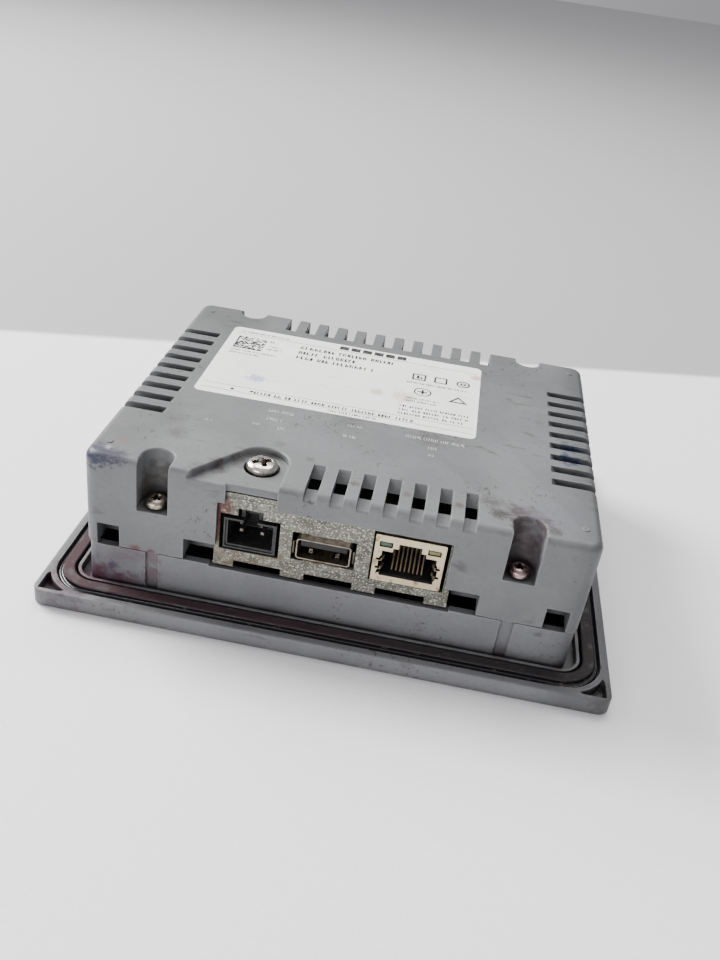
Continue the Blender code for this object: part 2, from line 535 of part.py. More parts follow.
def cut_flange(sheet, front, back):
    """Openings in the flange for the three ports, and slots along its bend."""
    (left, low), (right, high) = USB_HOLE
    ports = [
        prism(POWER_HOLE, front, back, "Y"),
        box((left, front, low), (right, back, high)),
        box((JACK_LEFT - JACK_HOLE_LEFT, front, JACK_LOW - JACK_HOLE_LOW),
            (JACK_RIGHT + JACK_HOLE_RIGHT, back, JACK_TOP + JACK_HOLE_HIGH)),
    ]
    cut(sheet, together(*ports))
    low, back = BASE_LOW - THROUGH, back + SHEET / 2
    slots = [box((start, front, low), (end, back, BEND_SLOT_TOP)) for start, end in BEND_SLOTS]
    cut(sheet, together(*slots))


def main_board():
    """The board, with a nose that carries the connectors."""
    low, high = BOARD_LOW, BOARD_TOP
    plate = box((-BOARD_X, BOARD_NOSE_Y, low), (BOARD_X, BOARD_BACK, high))
    board = piece("main_board", plate, "board_green")
    join(board, box((-BOARD_NOSE_X, BOARD_FRONT, low), (BOARD_NOSE_X, BOARD_BACK - 1, high)))
    holes = [cylinder(x, y, HOLE_R, low - THROUGH, high + THROUGH, 12) for x, y in BOARD_SCREWS]
    cut(board, together(*holes))


def board_parts():
    """The larger parts on the main board. Each stands on it with the usual gap."""
    low = BOARD_TOP + GAP
    blocks = {
        "processor": ((-2, -4), (14, 12), 1.4, "black_plastic"),
        "memory_chip": ((-2, 18), (10, 28), 1.1, "black_plastic"),
        "ethernet_transformer": ((11.5, -27), (24.5, -18), 5.8, "black_plastic"),
        "power_inductor": ((-27, -22), (-16, -11), 4.5, "black_plastic"),
    }
    for name, (start, end, height, material) in blocks.items():
        piece(name, box((*start, low), (*end, low + height), 0.3, 1), material)
    for number, y in enumerate((-2.0, 10.0), 1):
        can = cylinder(-26, y, 4.0, low, low + 10)
        fillet(can, 0.5, 2, lambda a, b: min(a.z, b.z) > low + 10 - CLOSE)
        piece(f"capacitor_{number}", can, "nickel_screw")


def strip_outline(path, thickness):
    """A closed outline round a path of (x, z) points, half the thickness to each side."""
    sides = ([], [])
    for i, here in enumerate(path):
        along = Vector(path[min(i + 1, len(path) - 1)]) - Vector(path[max(i - 1, 0)])
        across = Vector((-along.y, along.x)).normalized() * thickness / 2
        sides[0].append(tuple(Vector(here) + across))
        sides[1].append(tuple(Vector(here) - across))
    return sides[0] + sides[1][::-1]


def ribbon(name, side, start_x, start_z, low_y, high_y):
    """A flat cable on one side that rises through the chassis's slot and ends on the board."""
    x, bend = RIBBON_X, RIBBON_BEND
    out = 1 if start_x < x else -1  # which way it runs to its slot
    rise = [(x + out * (u - x), z) for u, z in arc(x - bend, start_z + bend, bend, -90, 0, 4)]
    path = [(start_x, start_z)] + rise
    path += arc(x - bend, RIBBON_TOP - bend, bend, 0, 90, 4)
    tight = bend - 0.4
    path += arc(x - bend - 0.6, RIBBON_TOP - tight, tight, 90, 165, 4)[1:]
    path.append((x - 2 * bend - 0.9, BOARD_TOP + GAP + 0.2))
    outline = [(side * u, z) for u, z in strip_outline(path, RIBBON_H)]
    piece(name, prism(outline, low_y, high_y, "Y"), "ribbon_white")


def board_screws():
    """Four screws hold the main board on the chassis, and four hold the chassis on the front frame."""
    rows = (("board_screw", BOARD_SCREWS, BOARD_TOP + GAP, BASE_LOW + 0.2, 23),
            ("chassis_screw", CHASSIS_SCREWS, BASE_LOW + SHEET + GAP, BASE_LOW - 7, 17))
    for name, places, low, shaft_low, turn in rows:
        for number, (x, y) in enumerate(places, 1):
            pan_head_screw(f"{name}_{number}", x, y, low, low + HEAD_H, HEAD_R, SHAFT_R, shaft_low,
                           turn * number, 12, 2)


# ---------------------------------------------------------------- connectors

def power_header():
    """The header's shell, with a raised key on top, and its two pins."""
    block = box((HEADER_LEFT, HEADER_FRONT, HEADER_LOW), (HEADER_RIGHT, HEADER_BACK, HEADER_TOP))
    header = piece("power_header", block, "black_plastic")
    join(header, box((HEADER_KEY_LEFT, HEADER_FRONT, HEADER_TOP - 1),
                     (HEADER_KEY_RIGHT, HEADER_KEY_BACK, HEADER_KEY_TOP)))
    front, wall = HEADER_FRONT - THROUGH, HEADER_WALL
    cut(header, box((HEADER_LEFT + wall, front, HEADER_LOW + wall),
                    (HEADER_RIGHT - wall, HEADER_SOCKET_END, HEADER_TOP - wall)))
    cut(header, box((HEADER_KEY_LEFT + wall, front, HEADER_TOP - 2 * wall),
                    (HEADER_KEY_RIGHT - wall, HEADER_FRONT + HEADER_KEY_DEPTH, HEADER_KEY_TOP - wall)))
    side = PIN_HALF + GAP
    cut(header, together(*[box((x - side, HEADER_SOCKET_END - THROUGH, PIN_Z - side),
                               (x + side, HEADER_BACK + THROUGH, PIN_Z + side)) for _, x in PIN_XS]))
    for name, x in PIN_XS:
        pin = box((x - PIN_HALF, PIN_FRONT, PIN_Z - PIN_HALF), (x + PIN_HALF, PIN_BACK, PIN_Z + PIN_HALF))
        fillet(pin, 0.2, 1, lambda a, b: max(a.y, b.y) < PIN_FRONT + CLOSE)
        piece(name, pin, "nickel_screw")


def usb_port():
    """The port's shell, the tongue inside it and the four contacts under the tongue."""
    shell = box((USB_LEFT, USB_FRONT, USB_LOW), (USB_RIGHT, USB_BACK, USB_TOP))
    fillet(shell, USB_FILLET, 2, lambda a, b: abs(a.y - b.y) > 1)
    shell = piece("usb_shell", shell, "jack_metal")
    wall = USB_WALL
    cut(shell, box((USB_LEFT + wall, USB_FRONT - THROUGH, USB_LOW + wall),
                   (USB_RIGHT - wall, USB_BACK - 1, USB_TOP - wall)))
    middle = (USB_LEFT + USB_RIGHT) / 2
    left, right = middle - TONGUE_HALF_X, middle + TONGUE_HALF_X
    blade = box((left, TONGUE_FRONT, TONGUE_LOW), (right, TONGUE_BACK, TONGUE_TOP), 0.2, 1)
    tongue = piece("usb_tongue", blade, "black_plastic")
    join(tongue, box((left, TONGUE_BASE_FRONT, TONGUE_BASE_LOW), (right, TONGUE_BACK, TONGUE_LOW + 0.5)))
    for number, offset in enumerate(USB_CONTACT_XS, 1):
        start = (middle + offset - USB_CONTACT_HALF, USB_CONTACT_FRONT, USB_CONTACT_TOP - USB_CONTACT_H)
        end = (middle + offset + USB_CONTACT_HALF, USB_CONTACT_BACK, USB_CONTACT_TOP)
        piece(f"usb_contact_{number}", box(start, end), "gold_contact")


def socket_outline(middle, grow=0.0):
    """The socket's outline as (x, z): the plug's space with two steps above it for the latch."""
    right = [(SOCKET_X, SOCKET_LOW - grow), (SOCKET_X, SOCKET_TOP)]
    for half, top in LATCH_STEPS:
        right += [(half, right[-1][1]), (half, top)]
    right = [(x + grow, z) for x, z in right]
    return [(middle + x, z) for x, z in right] + [(middle - x, z) for x, z in reversed(right)]


def light_box(middle, side, start, end, grow=0.0):
    """A box round one of the two lights over the socket, from start to end along Y."""
    xs = sorted((middle + side * (LIGHT_IN - grow), middle + side * (LIGHT_OUT + grow)))
    return box((xs[0], start, LIGHT_LOW - grow), (xs[1], end, LIGHT_TOP + grow))


def ethernet_jack():
    """The jack's shell and insert, both open for the plug and the lights."""
    middle = (JACK_LEFT + JACK_RIGHT) / 2
    block = box((JACK_LEFT, JACK_FRONT, JACK_LOW), (JACK_RIGHT, JACK_BACK, JACK_TOP))
    shell = piece("ethernet_shell", block, "jack_metal")
    front, sheet, grow = JACK_FRONT, JACK_SHEET, JACK_CLEARANCE
    cut(shell, box((JACK_LEFT + sheet, front + sheet, JACK_LOW + sheet),
                   (JACK_RIGHT - sheet, JACK_BACK + THROUGH, JACK_TOP - sheet)))
    cut(shell, prism(socket_outline(middle, grow), front - THROUGH, front + THROUGH, "Y"))
    start, end = front - THROUGH, front + THROUGH
    cut(shell, together(*[light_box(middle, side, start, end, grow) for side in (-1, 1)]))
    gap = sheet + 0.2
    block = box((JACK_LEFT + gap, front + gap, JACK_LOW + gap),
                (JACK_RIGHT - gap, JACK_BACK - 0.2, JACK_TOP - gap))
    insert = piece("ethernet_insert", block, "black_plastic")
    cut(insert, prism(socket_outline(middle), front, SOCKET_END, "Y"))
    depth = LIGHT_DEPTH + GAP
    cut(insert, together(*[light_box(middle, side, front, front + depth, grow) for side in (-1, 1)]))
    for colour, side in (("green", -1), ("yellow", 1)):
        lens = light_box(middle, side, front + 0.1, front + LIGHT_DEPTH)
        piece(f"link_light_{colour}", lens, f"{colour}_lens")
    ethernet_contacts(middle)


def ethernet_contacts(middle):
    """Eight spring wires that lean back from the socket's floor, on one carrier."""
    xs = centred(middle, CONTACT_PITCH, CONTACT_COUNT)
    bar = box((xs[0] - 0.5, CARRIER_FRONT, CARRIER_LOW), (xs[-1] + 0.5, CARRIER_BACK, CARRIER_TOP))
    carrier = piece("ethernet_contacts", bar, "gold_contact")
    outline = strip_outline(CONTACT_PATH, CONTACT_H)
    wires = [prism(outline, x - CONTACT_HALF, x + CONTACT_HALF, "X") for x in xs]
    join(carrier, together(*wires))


# ---------------------------------------------------------------- rear cover

def ground_recess_outline():
    """Straight from the left, tangent round the screw, and straight out to the front edge."""
    start = Vector((GROUND_START_X, CASE_FRONT - THROUGH))
    centre = Vector((GROUND_X, GROUND_Y))
    to_centre = centre - start
    heading = math.atan2(to_centre.y, to_centre.x) + math.asin(GROUND_R / to_centre.length)
    bend = arc(GROUND_X, GROUND_Y, GROUND_R, math.degrees(heading) + 90, 0, 8)
    return [tuple(start)] + bend + [(GROUND_X + GROUND_R, CASE_FRONT - THROUGH)]


def vent_profile(inner, ledge, low, run, ramp_low):
    """A vent's cutter seen along the slot's width: a sloped inner end, and a cut down to low."""
    foot, top = inner + math.copysign(run, ledge - inner), CASE_TOP + THROUGH
    ramp = [(foot, low), (foot, ramp_low), (inner, CASE_TOP + 0.05), (inner, top)]
    return ramp + [(ledge, top), (ledge, low)]


def join_ramps(cover):
    """Bars under the top wall, which carry the front and side vents' sloped ends."""
    high = CEILING + 0.5
    xs, ys = VENT_XS, VENT_YS
    bars = [box((xs[0] - VENT_W / 2 - RAMP_MARGIN, FRONT_VENT_BACK - RAMP_RUN, RAMP_LOW),
                (xs[-1] + VENT_W / 2 + RAMP_MARGIN, FRONT_VENT_BACK + RAMP_MARGIN, high))]
    for side in (-1, 1):
        ends = sorted((side * (SIDE_VENT_INNER - RAMP_MARGIN), side * (SIDE_VENT_INNER + RAMP_RUN)))
        bars.append(box((ends[0], ys[0] - VENT_W / 2 - RAMP_MARGIN, RAMP_LOW),
                        (ends[1], ys[-1] + VENT_W / 2 + RAMP_MARGIN, high)))
    join(cover, together(*bars))


def cut_vents(cover):
    """Rows of slots on four sides. The front slots end at a ledge, with a shallow groove across it."""
    half, high = VENT_W / 2, CASE_TOP + THROUGH
    profile = vent_profile(FRONT_VENT_BACK, FRONT_VENT_LEDGE, FRONT_VENT_LOW, RAMP_RUN, RAMP_LOW)
    holes, grooves = [], []
    for x in VENT_XS:
        holes.append(prism(profile, x - half, x + half, "X"))
        low_corner = (x - half, CASE_FRONT - THROUGH, CEILING)
        grooves.append(box(low_corner, (x + half, FRONT_VENT_LEDGE + 1, high)))
    cut(cover, together(*holes), together(*grooves))
    profile = vent_profile(BACK_VENT_FRONT, CASE_BACK + THROUGH, BACK_VENT_LOW, VENT_SLOPE, CEILING - 0.2)
    xs = centred(0, BACK_VENT_PITCH, BACK_VENT_COUNT)
    cut(cover, together(*[prism(profile, x - half, x + half, "X") for x in xs]))
    profile = vent_profile(SIDE_VENT_INNER, CASE_X + THROUGH, SIDE_VENT_LOW, RAMP_RUN, RAMP_LOW)
    sides = []
    for side in (-1, 1):
        outline = [(side * u, v) for u, v in profile]
        sides += [prism(outline, y - half, y + half, "Y") for y in VENT_YS]
    cut(cover, together(*sides))


def join_wells(cover):
    """Walls round the screw wells, which drop from the top to the screws."""
    radius = WELL_R + WELL_WALL
    for x in (-WELL_X, WELL_X):
        for y, edge in ((FRONT_WELL_Y, CASE_FRONT + 1), (BACK_WELL_Y - 0.5, CASE_BACK - 1)):
            join(cover, prism(slot_outline(x, y, radius, edge), WELL_BASE, CASE_TOP - 1))


def cut_wells(cover):
    """Opens the wells, and makes room for the screws and for the front frame's bosses under them."""
    for x in (-WELL_X, WELL_X):
        for y, edge in ((FRONT_WELL_Y, CASE_FRONT - THROUGH), (BACK_WELL_Y, CASE_BACK + THROUGH)):
            cut(cover, prism(slot_outline(x, y, WELL_R, edge), WELL_FLOOR, CASE_TOP + THROUGH))
    bores, rooms = [], []
    for x, y, radius in BOSSES:
        bores.append(cylinder(x, y, BORE_R, WELL_BASE - THROUGH, WELL_FLOOR + THROUGH, 12))
        rooms.append(cylinder(x, y, radius + GAP, CASE_LOW - THROUGH, BOSS_TOP + GAP, 20))
    cut(cover, together(*bores), together(*rooms))


def clip_pockets(cover):
    """Pockets for the clips that clamp the panel to the cabinet, along the front and back walls."""
    wall, top = CLIP_POCKET_WALL, CLIP_POCKET_TOP
    walls, holes = [], []
    for edge, inward in ((CASE_FRONT, 1), (CASE_BACK, -1)):
        wall_ys = sorted((edge + inward, edge + inward * (CLIP_POCKET_DEPTH + wall)))
        hole_ys = sorted((edge - inward * THROUGH, edge + inward * CLIP_POCKET_DEPTH))
        for middle, width, inner_wall in CLIP_POCKETS:
            near, far = middle - width / 2, middle + width / 2
            for side in (-1, 1):
                xs = sorted((side * (near - inner_wall), side * (far + wall)))
                walls.append(box((xs[0], wall_ys[0], CASE_LOW + 0.2), (xs[1], wall_ys[1], top + wall)))
                xs = sorted((side * near, side * far))
                holes.append(box((xs[0], hole_ys[0], CASE_LOW - THROUGH), (xs[1], hole_ys[1], top)))
    join(cover, together(*walls))
    cut(cover, together(*holes))


def connector_window(cover):
    """Opening in the front wall, with a thin skin left round it in front of the chassis flange."""
    relief = FLANGE_X + 0.5
    front, skin, back = CASE_FRONT - THROUGH, CASE_FRONT + SKIN_FRONT, CASE_FRONT + WALL + 0.5
    low, shoulder = CASE_LOW - THROUGH, CLIP_POCKET_TOP
    outline = [
        (-relief, low), (relief, low), (relief, shoulder), (OPENING_RIGHT, shoulder),
        (OPENING_RIGHT, OPENING_TOP), (LIP_RIGHT, OPENING_TOP), (LIP_RIGHT, GROUND_PLATE),
        (LIP_LEFT, GROUND_PLATE), (LIP_LEFT, OPENING_STEP), (OPENING_LEFT, OPENING_STEP),
        (OPENING_LEFT, shoulder - EASE), (-relief, shoulder - EASE),
    ]
    cut(cover, prism(outline, front, back, "Y"))
    cut(cover, box((-relief, skin, low), (relief, back + 0.2, FLANGE_TOP + GAP)))
    cut(cover, box((-relief, skin, FLANGE_TOP), (TAB_RIGHT + GAP, back + 0.4, GROUND_PLATE + EASE)))
    cut(cover, box((LIP_LEFT, front, OPENING_TOP), (LIP_RIGHT, LIP_FRONT, CASE_TOP + THROUGH)))


def rear_cover():
    """A shell that is thicker under the front vents' ledge and round the ground screw's recess."""
    block = prism(rounded_rectangle(CASE_X, CASE_FRONT, CASE_BACK, CASE_R, 5), CASE_LOW, CASE_TOP)
    fillet(block, CASE_FILLET, 3, lambda a, b: min(a.z, b.z) > CASE_TOP - CLOSE)
    cover = piece("rear_cover", block, "grey_plastic")
    inside = rounded_rectangle(CASE_X, CASE_FRONT, CASE_BACK, CASE_R, 4, WALL)
    cut(cover, prism(inside, CASE_LOW - THROUGH, CEILING))
    start, end = THICK_LEDGE
    join(cover, box((start, CASE_FRONT + 1, GROUND_PLATE), (end, FRONT_VENT_LEDGE, CEILING + 0.5)))
    start, end = THICK_RECESS
    join(cover, box((start, CASE_FRONT + 1, GROUND_PLATE), (end, THICK_RECESS_BACK, CEILING + 0.6)))
    join_ramps(cover)
    join_wells(cover)
    clip_pockets(cover)
    cut_wells(cover)
    cut(cover, prism(ground_recess_outline(), GROUND_FLOOR, CASE_TOP + THROUGH))
    low, high = GROUND_PLATE - THROUGH, CASE_TOP + THROUGH
    cut(cover, cylinder(GROUND_X, GROUND_Y, GROUND_HOLE_R, low, high, 24))
    connector_window(cover)
    cut_vents(cover)
    join(cover, together(*[cylinder(x, y, PIMPLE_R, CASE_TOP - 0.4, CASE_TOP + PIMPLE_H, 10)
                           for x in (-PIMPLE_X, PIMPLE_X) for y in PIMPLE_YS]))


def rating_label():
    (left, front), (right, back) = LABEL_LOW, LABEL_HIGH
    outline = rounded_rectangle((right - left) / 2, front, back, LABEL_R, 4)
    outline = [(x + (left + right) / 2, y) for x, y in outline]
    low = CASE_TOP + LABEL_GAP
    piece("rating_label", prism(outline, low, low + LABEL_H), "white_label")


def cover_screws():
    low = WELL_FLOOR + GAP
    for number, (x, y, _) in enumerate(BOSSES, 1):
        pan_head_screw(f"cover_screw_{number}", x, y, low, low + COVER_HEAD_H, COVER_HEAD_R, SHAFT_R,
                       low - COVER_SHAFT_LENGTH, 19 * number)


def ground_terminal():
    """The ground screw on its washer, over the chassis tab."""
    washer = cylinder(GROUND_X, GROUND_Y, GROUND_HEAD_R + 0.1, TAB_TOP + GAP, GROUND_HEAD_LOW - GAP, 24)
    washer = piece("ground_washer", washer, "nickel_screw")
    cut(washer, cylinder(GROUND_X, GROUND_Y, GROUND_SHAFT_R + GAP, TAB_TOP, GROUND_HEAD_LOW + 1))
    pan_head_screw("ground_screw", GROUND_X, GROUND_Y, GROUND_HEAD_LOW, GROUND_HEAD_TOP, GROUND_HEAD_R,
                   GROUND_SHAFT_R, GROUND_SHAFT_LOW, 40, 24, 4)


clear_scene()
PANEL = new_collection("touch_panel")
CUTTERS = new_collection("cutters")
MATERIALS = {name: make_material(name, *values) for name, values in COLOURS.items()}

front_frame()
overlay_film()
mounting_seal()
display()
for key_number, key_x in enumerate(KEY_XS, 1):
    key(key_number, key_x)
key_board()
chassis()
main_board()
board_parts()
ribbon("display_ribbon", 1, 28.0, 8.0, 0.0, 20.0)
ribbon("key_ribbon", -1, 47.0, 10.9, -36.0, -31.0)
board_screws()
power_header()
usb_port()
ethernet_jack()
rear_cover()
rating_label()
cover_screws()
ground_terminal()
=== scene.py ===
"""The looks of the operator touch panel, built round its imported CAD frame.

Shapes are drawn in millimetres, in the frame's own axes, and become metres in piece(). The panel lies on its
front: +Z points to the rear cover and -Y out of the connector side.
"""

import functools
import json
import math
import random

import bmesh
import bpy
from mathutils import Matrix, Vector


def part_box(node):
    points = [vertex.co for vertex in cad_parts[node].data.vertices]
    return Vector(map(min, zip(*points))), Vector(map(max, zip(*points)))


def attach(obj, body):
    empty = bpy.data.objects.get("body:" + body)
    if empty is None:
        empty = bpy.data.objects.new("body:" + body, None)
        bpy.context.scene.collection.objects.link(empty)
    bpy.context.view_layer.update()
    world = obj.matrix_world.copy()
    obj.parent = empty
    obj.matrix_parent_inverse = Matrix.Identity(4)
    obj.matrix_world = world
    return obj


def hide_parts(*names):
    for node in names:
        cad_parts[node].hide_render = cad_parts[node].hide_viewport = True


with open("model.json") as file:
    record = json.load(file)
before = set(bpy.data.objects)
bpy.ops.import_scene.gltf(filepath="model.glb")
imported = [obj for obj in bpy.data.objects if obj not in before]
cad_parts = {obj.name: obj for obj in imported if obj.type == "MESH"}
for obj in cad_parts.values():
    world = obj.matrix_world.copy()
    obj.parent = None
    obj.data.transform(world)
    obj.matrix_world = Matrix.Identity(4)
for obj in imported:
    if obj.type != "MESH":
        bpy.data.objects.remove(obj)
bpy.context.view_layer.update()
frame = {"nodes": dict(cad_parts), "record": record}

MM = 0.001
THROUGH = 1.0  # how far a cutter runs past the face that it opens
CLOSE = 1e-4
HOUSING = "housing"


def edges_of(node):
    """A CAD node's lowest and highest corners, in millimetres."""
    low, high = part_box(node)
    return low / MM, high / MM


# ---------------------------------------------------------------- sizes that the frame gives

BEZEL_LOW, BEZEL_HIGH = edges_of("front_frame")
CASE_MIN, CASE_MAX = edges_of("rear_cover")
SEAL_MIN, SEAL_MAX = edges_of("mounting_seal")
FLANGE_MIN, FLANGE_MAX = edges_of("chassis")
HEADER_MIN, HEADER_MAX = edges_of("power_header")
USB_MIN, USB_MAX = edges_of("usb_shell")
TONGUE_MIN, TONGUE_MAX = edges_of("usb_tongue")
JACK_MIN, JACK_MAX = edges_of("ethernet_shell")
LABEL_MIN, LABEL_MAX = edges_of("rating_label")
GROUND_MIN, GROUND_MAX = edges_of("ground_screw")
GLASS_MIN, GLASS_MAX = edges_of("touch_glass")
FILM_MIN, FILM_MAX = edges_of("overlay_film")

# ---------------------------------------------------------------- sizes inside the nodes

BEZEL_H, BEZEL_R = 4.6, 3.0
GROOVE_X, GROOVE_Y, GROOVE_R, GROOVE_FLOOR = 68.4, 55.9, 11.0, 2.4
RIB_X, RIB_Y, RIB_R, RIB_TOP, RIB_WALL = 63.2, 50.7, 5.6, 5.0, 0.8
COLLAR_X, COLLAR_FRONT, COLLAR_BACK, COLLAR_R, COLLAR_TOP = 60.0, -48.7, 49.5, 4.0, 14.9
COLLAR_LOW_TOP = 14.4  # in the middle, under the connectors
COLLAR_NOTCH_W, COLLAR_NOTCH_D = 3.1, 0.7
FACE_FLOOR, PLATE_TOP = 1.4, 3.4
FILM_R, FILM_GAP = 2.5, 0.3
KEY_FLANGE, INSERT_GAP = 0.8, 0.3
CORNER_POCKET_WALL, CORNER_POCKET_LEG, CORNER_POCKET_FLOOR = 1.4, 5.6, 1.8
SEAL_LIP_TOP, SEAL_LIP_W, SEAL_GAP = 4.0, 1.2, 0.4

WALL = 2.0
CASE_X, CASE_R, CASE_LOW, CASE_TOP, CASE_FILLET = 60.2, 3.4, 15.2, 40.2, 2.0
CASE_FRONT, CASE_BACK = CASE_MIN.y, CASE_MAX.y
CEILING = CASE_TOP - WALL
WELL_X, WELL_R, WELL_WALL, WELL_FLOOR, WELL_BASE = 43.4, 3.7, 1.4, 26.8, 24.8
FRONT_WELL_Y, BACK_WELL_Y = -44.9, 47.7
CLIP_POCKETS = ((54.2, 5.4), (32.3, 6.6))
CLIP_POCKET_TOP, CLIP_POCKET_DEPTH, CLIP_POCKET_WALL = 21.1, 6.0, 1.2
VENT_W, VENT_SLOPE = 3.0, 1.8
RAMP_RUN, RAMP_LOW, RAMP_MARGIN = 2.5, 37.5, 1.1
GROOVE_END_R, RIM_R, LIP_EDGE_R = 1.0, 0.6, 0.6
FRONT_VENT_X, FRONT_VENT_PITCH, FRONT_VENT_COUNT = 11.6, 6.1, 7
FRONT_VENT_BACK, FRONT_VENT_LEDGE = -35.6, -43.5
SIDE_VENT_Y, SIDE_VENT_PITCH, SIDE_VENT_COUNT, SIDE_VENT_INNER, SIDE_VENT_LOW = 1.7, 6.2, 9, 48.7, 34.0
BACK_VENT_PITCH, BACK_VENT_COUNT, BACK_VENT_FRONT, BACK_VENT_LOW = 6.03, 11, 39.3, 30.0
PIMPLE_X, PIMPLE_YS, PIMPLE_R = 56.0, (-42.2, 43.4), 0.85

GROUND = ((GROUND_MIN + GROUND_MAX) / 2).xy
GROUND_R, GROUND_FLOOR, GROUND_PLATE, GROUND_START_X = 6.2, 38.2, 36.3, -36.1
GROUND_HOLE_R, GROUND_HEAD_LOW = 4.3, 37.35
LIP_LEFT, LIP_RIGHT, LIP_FRONT = -26.1, GROUND.x + GROUND_R, -47.9
OPENING_LEFT, OPENING_RIGHT, OPENING_TOP, OPENING_STEP = -27.9, 27.3, 33.7, 33.3
SKIN_FRONT = 0.8

SHEET, FLANGE_X, FLANGE_FRONT, FLANGE_TOP, TAB_TOP = 1.0, 28.7, FLANGE_MIN.y, 34.7, FLANGE_MAX.z
BASE_LOW, BASE_FRONT, BASE_BACK = FLANGE_MIN.z, -40.0, 41.0
TAB_LEFT, TAB_RIGHT, TAB_BACK = -28.0, -12.8, -31.6
BEND_SLOTS = ((-23.5, -12.0), (-6.2, 5.5), (11.2, 23.0))
BEND_SLOT_TOP, TAPPED_R = 16.7, 2.3
POWER_OPENING_X, POWER_OPENING_Z = (-27.2, -12.9, -23.0, -17.1), (19.8, 29.9, 31.9)
RIBBON_SLOTS = ((39.4, -4, 42.6, 24), (-42.6, -37.5, -39.4, -29.5))

HEADER_KEY = (-22.7, -17.4)
HEADER_TOP, HEADER_KEY_BACK, HEADER_WALL = 28.6, -41.5, 1.0
SOCKET_X, SOCKET_LOW, SOCKET_TOP, SOCKET_END = 6.2, 21.3, 28.1, -36.5
LATCH_STEPS = ((3.7, 29.2), (2.5, 30.6))
LIGHT_OUT, LIGHT_IN, LIGHT_LOW, LIGHT_TOP = 7.0, 4.3, 29.4, 30.5
CONTACT_COUNT, CONTACT_PITCH = 8, 1.02


# ---------------------------------------------------------------- materials

class Look:
    """A procedural material. Its patterns are laid out in millimetres of the panel's own frame."""

    def __init__(self, name, metallic=0.0, specular=0.5):
        self.material = bpy.data.materials.new(name)
        self.material.use_nodes = True
        self.tree = self.material.node_tree
        self.shader = self.tree.nodes["Principled BSDF"]
        self.shader.inputs["Metallic"].default_value = metallic
        self.shader.inputs["Specular IOR Level"].default_value = specular
        coordinates = self.tree.nodes.new("ShaderNodeTexCoord")
        self.place = self.vector("MULTIPLY", coordinates.outputs["Object"], (1 / MM,) * 3)

    def node(self, kind, values, output=0, **settings):
        """Adds a node, sets or links its inputs and returns one of its outputs."""
        made = self.tree.nodes.new(kind)
        for key, value in settings.items():
            setattr(made, key, value)
        for key, value in values.items():
            if isinstance(value, bpy.types.NodeSocket):
                self.tree.links.new(value, made.inputs[key])
            elif value is not None:
                made.inputs[key].default_value = value
        return made.outputs[output]

    def vector(self, operation, a, b, output=0):
        return self.node("ShaderNodeVectorMath", {0: a, 1: b}, output, operation=operation)

    def math(self, operation, a, b, clamp=True):
        return self.node("ShaderNodeMath", {0: a, 1: b}, operation=operation, use_clamp=clamp)

    def times(self, *factors):
        return functools.reduce(lambda a, b: self.math("MULTIPLY", a, b), factors)

    def noise(self, size, detail=3.0, stretch=(1, 1, 1), shift=0.0, distortion=0.0):
        """Soft noise from 0 to 1 with blobs of about the size given."""
        place = self.vector("MULTIPLY", self.place, tuple(1 / s for s in stretch))
        place = self.vector("ADD", place, (shift, shift * 0.7, shift * 1.3))
        values = {"Vector": place, "Scale": 1 / size, "Detail": detail, "Distortion": distortion}
        return self.node("ShaderNodeTexNoise", values)

    def cells(self, size, output="Color"):
        values = {"Vector": self.place, "Scale": 1 / size}
        return self.node("ShaderNodeTexVoronoi", values, output)

    def span(self, value, low, high, to_low=0.0, to_high=1.0):
        """Maps low..high to to_low..to_high, and holds the ends."""
        values = {"Value": value, "From Min": low, "From Max": high, "To Min": to_low, "To Max": to_high}
        return self.node("ShaderNodeMapRange", values, interpolation_type="SMOOTHSTEP")

    def mix(self, factor, a, b):
        a, b = [(*c, 1.0) if isinstance(c, tuple) and len(c) == 3 else c for c in (a, b)]
        made = self.tree.nodes.new("ShaderNodeMix")
        made.data_type = "RGBA"
        for key, value in ((0, factor), (6, a), (7, b)):
            if isinstance(value, bpy.types.NodeSocket):
                self.tree.links.new(value, made.inputs[key])
            else:
                made.inputs[key].default_value = value
        return made.outputs[2]

    def axis(self, name):
        return self.node("ShaderNodeSeparateXYZ", {0: self.place}, name)

    def spot(self, centre, radius, soft, ragged=0.0, shift=0.0):
        """1 inside a ball round a point, fading out over soft, with an uneven outline if ragged."""
        distance = self.vector("DISTANCE", self.place, centre, "Value")
        if ragged:
            wave = self.span(self.noise(radius * 0.5, 4, shift=shift), 0.3, 0.7, -ragged, ragged)
            distance = self.math("ADD", distance, wave, clamp=False)
        return self.span(distance, radius, radius + soft, 1.0, 0.0)

    def worn_edges(self, radius):
        """1 along sharp edges, 0 on flat stretches."""
        soft = self.node("ShaderNodeBevel", {"Radius": radius * MM}, samples=4)
        flat = self.tree.nodes.new("ShaderNodeNewGeometry").outputs["Normal"]
        along = self.vector("DOT_PRODUCT", soft, flat, "Value")
        return self.span(along, 0.998, 0.93)

    def hollows(self, distance):
        """1 deep in corners and slots, 0 in the open."""
        values = {"Distance": distance * MM}
        shade = self.node("ShaderNodeAmbientOcclusion", values, "AO", samples=4)
        return self.span(shade, 0.85, 0.25)

    def finish(self, colour, roughness, height=None, depth=0.02):
        """Links the colour, the roughness and a relief of the given depth in millimetres."""
        for key, value in (("Base Color", colour), ("Roughness", roughness)):
            if isinstance(value, bpy.types.NodeSocket):
                self.tree.links.new(value, self.shader.inputs[key])
            else:
                self.shader.inputs[key].default_value = value
        if height is not None:
            bump = self.node("ShaderNodeBump", {"Height": height, "Distance": depth * MM, "Strength": 1.0})
            self.tree.links.new(bump, self.shader.inputs["Normal"])
        return self.material


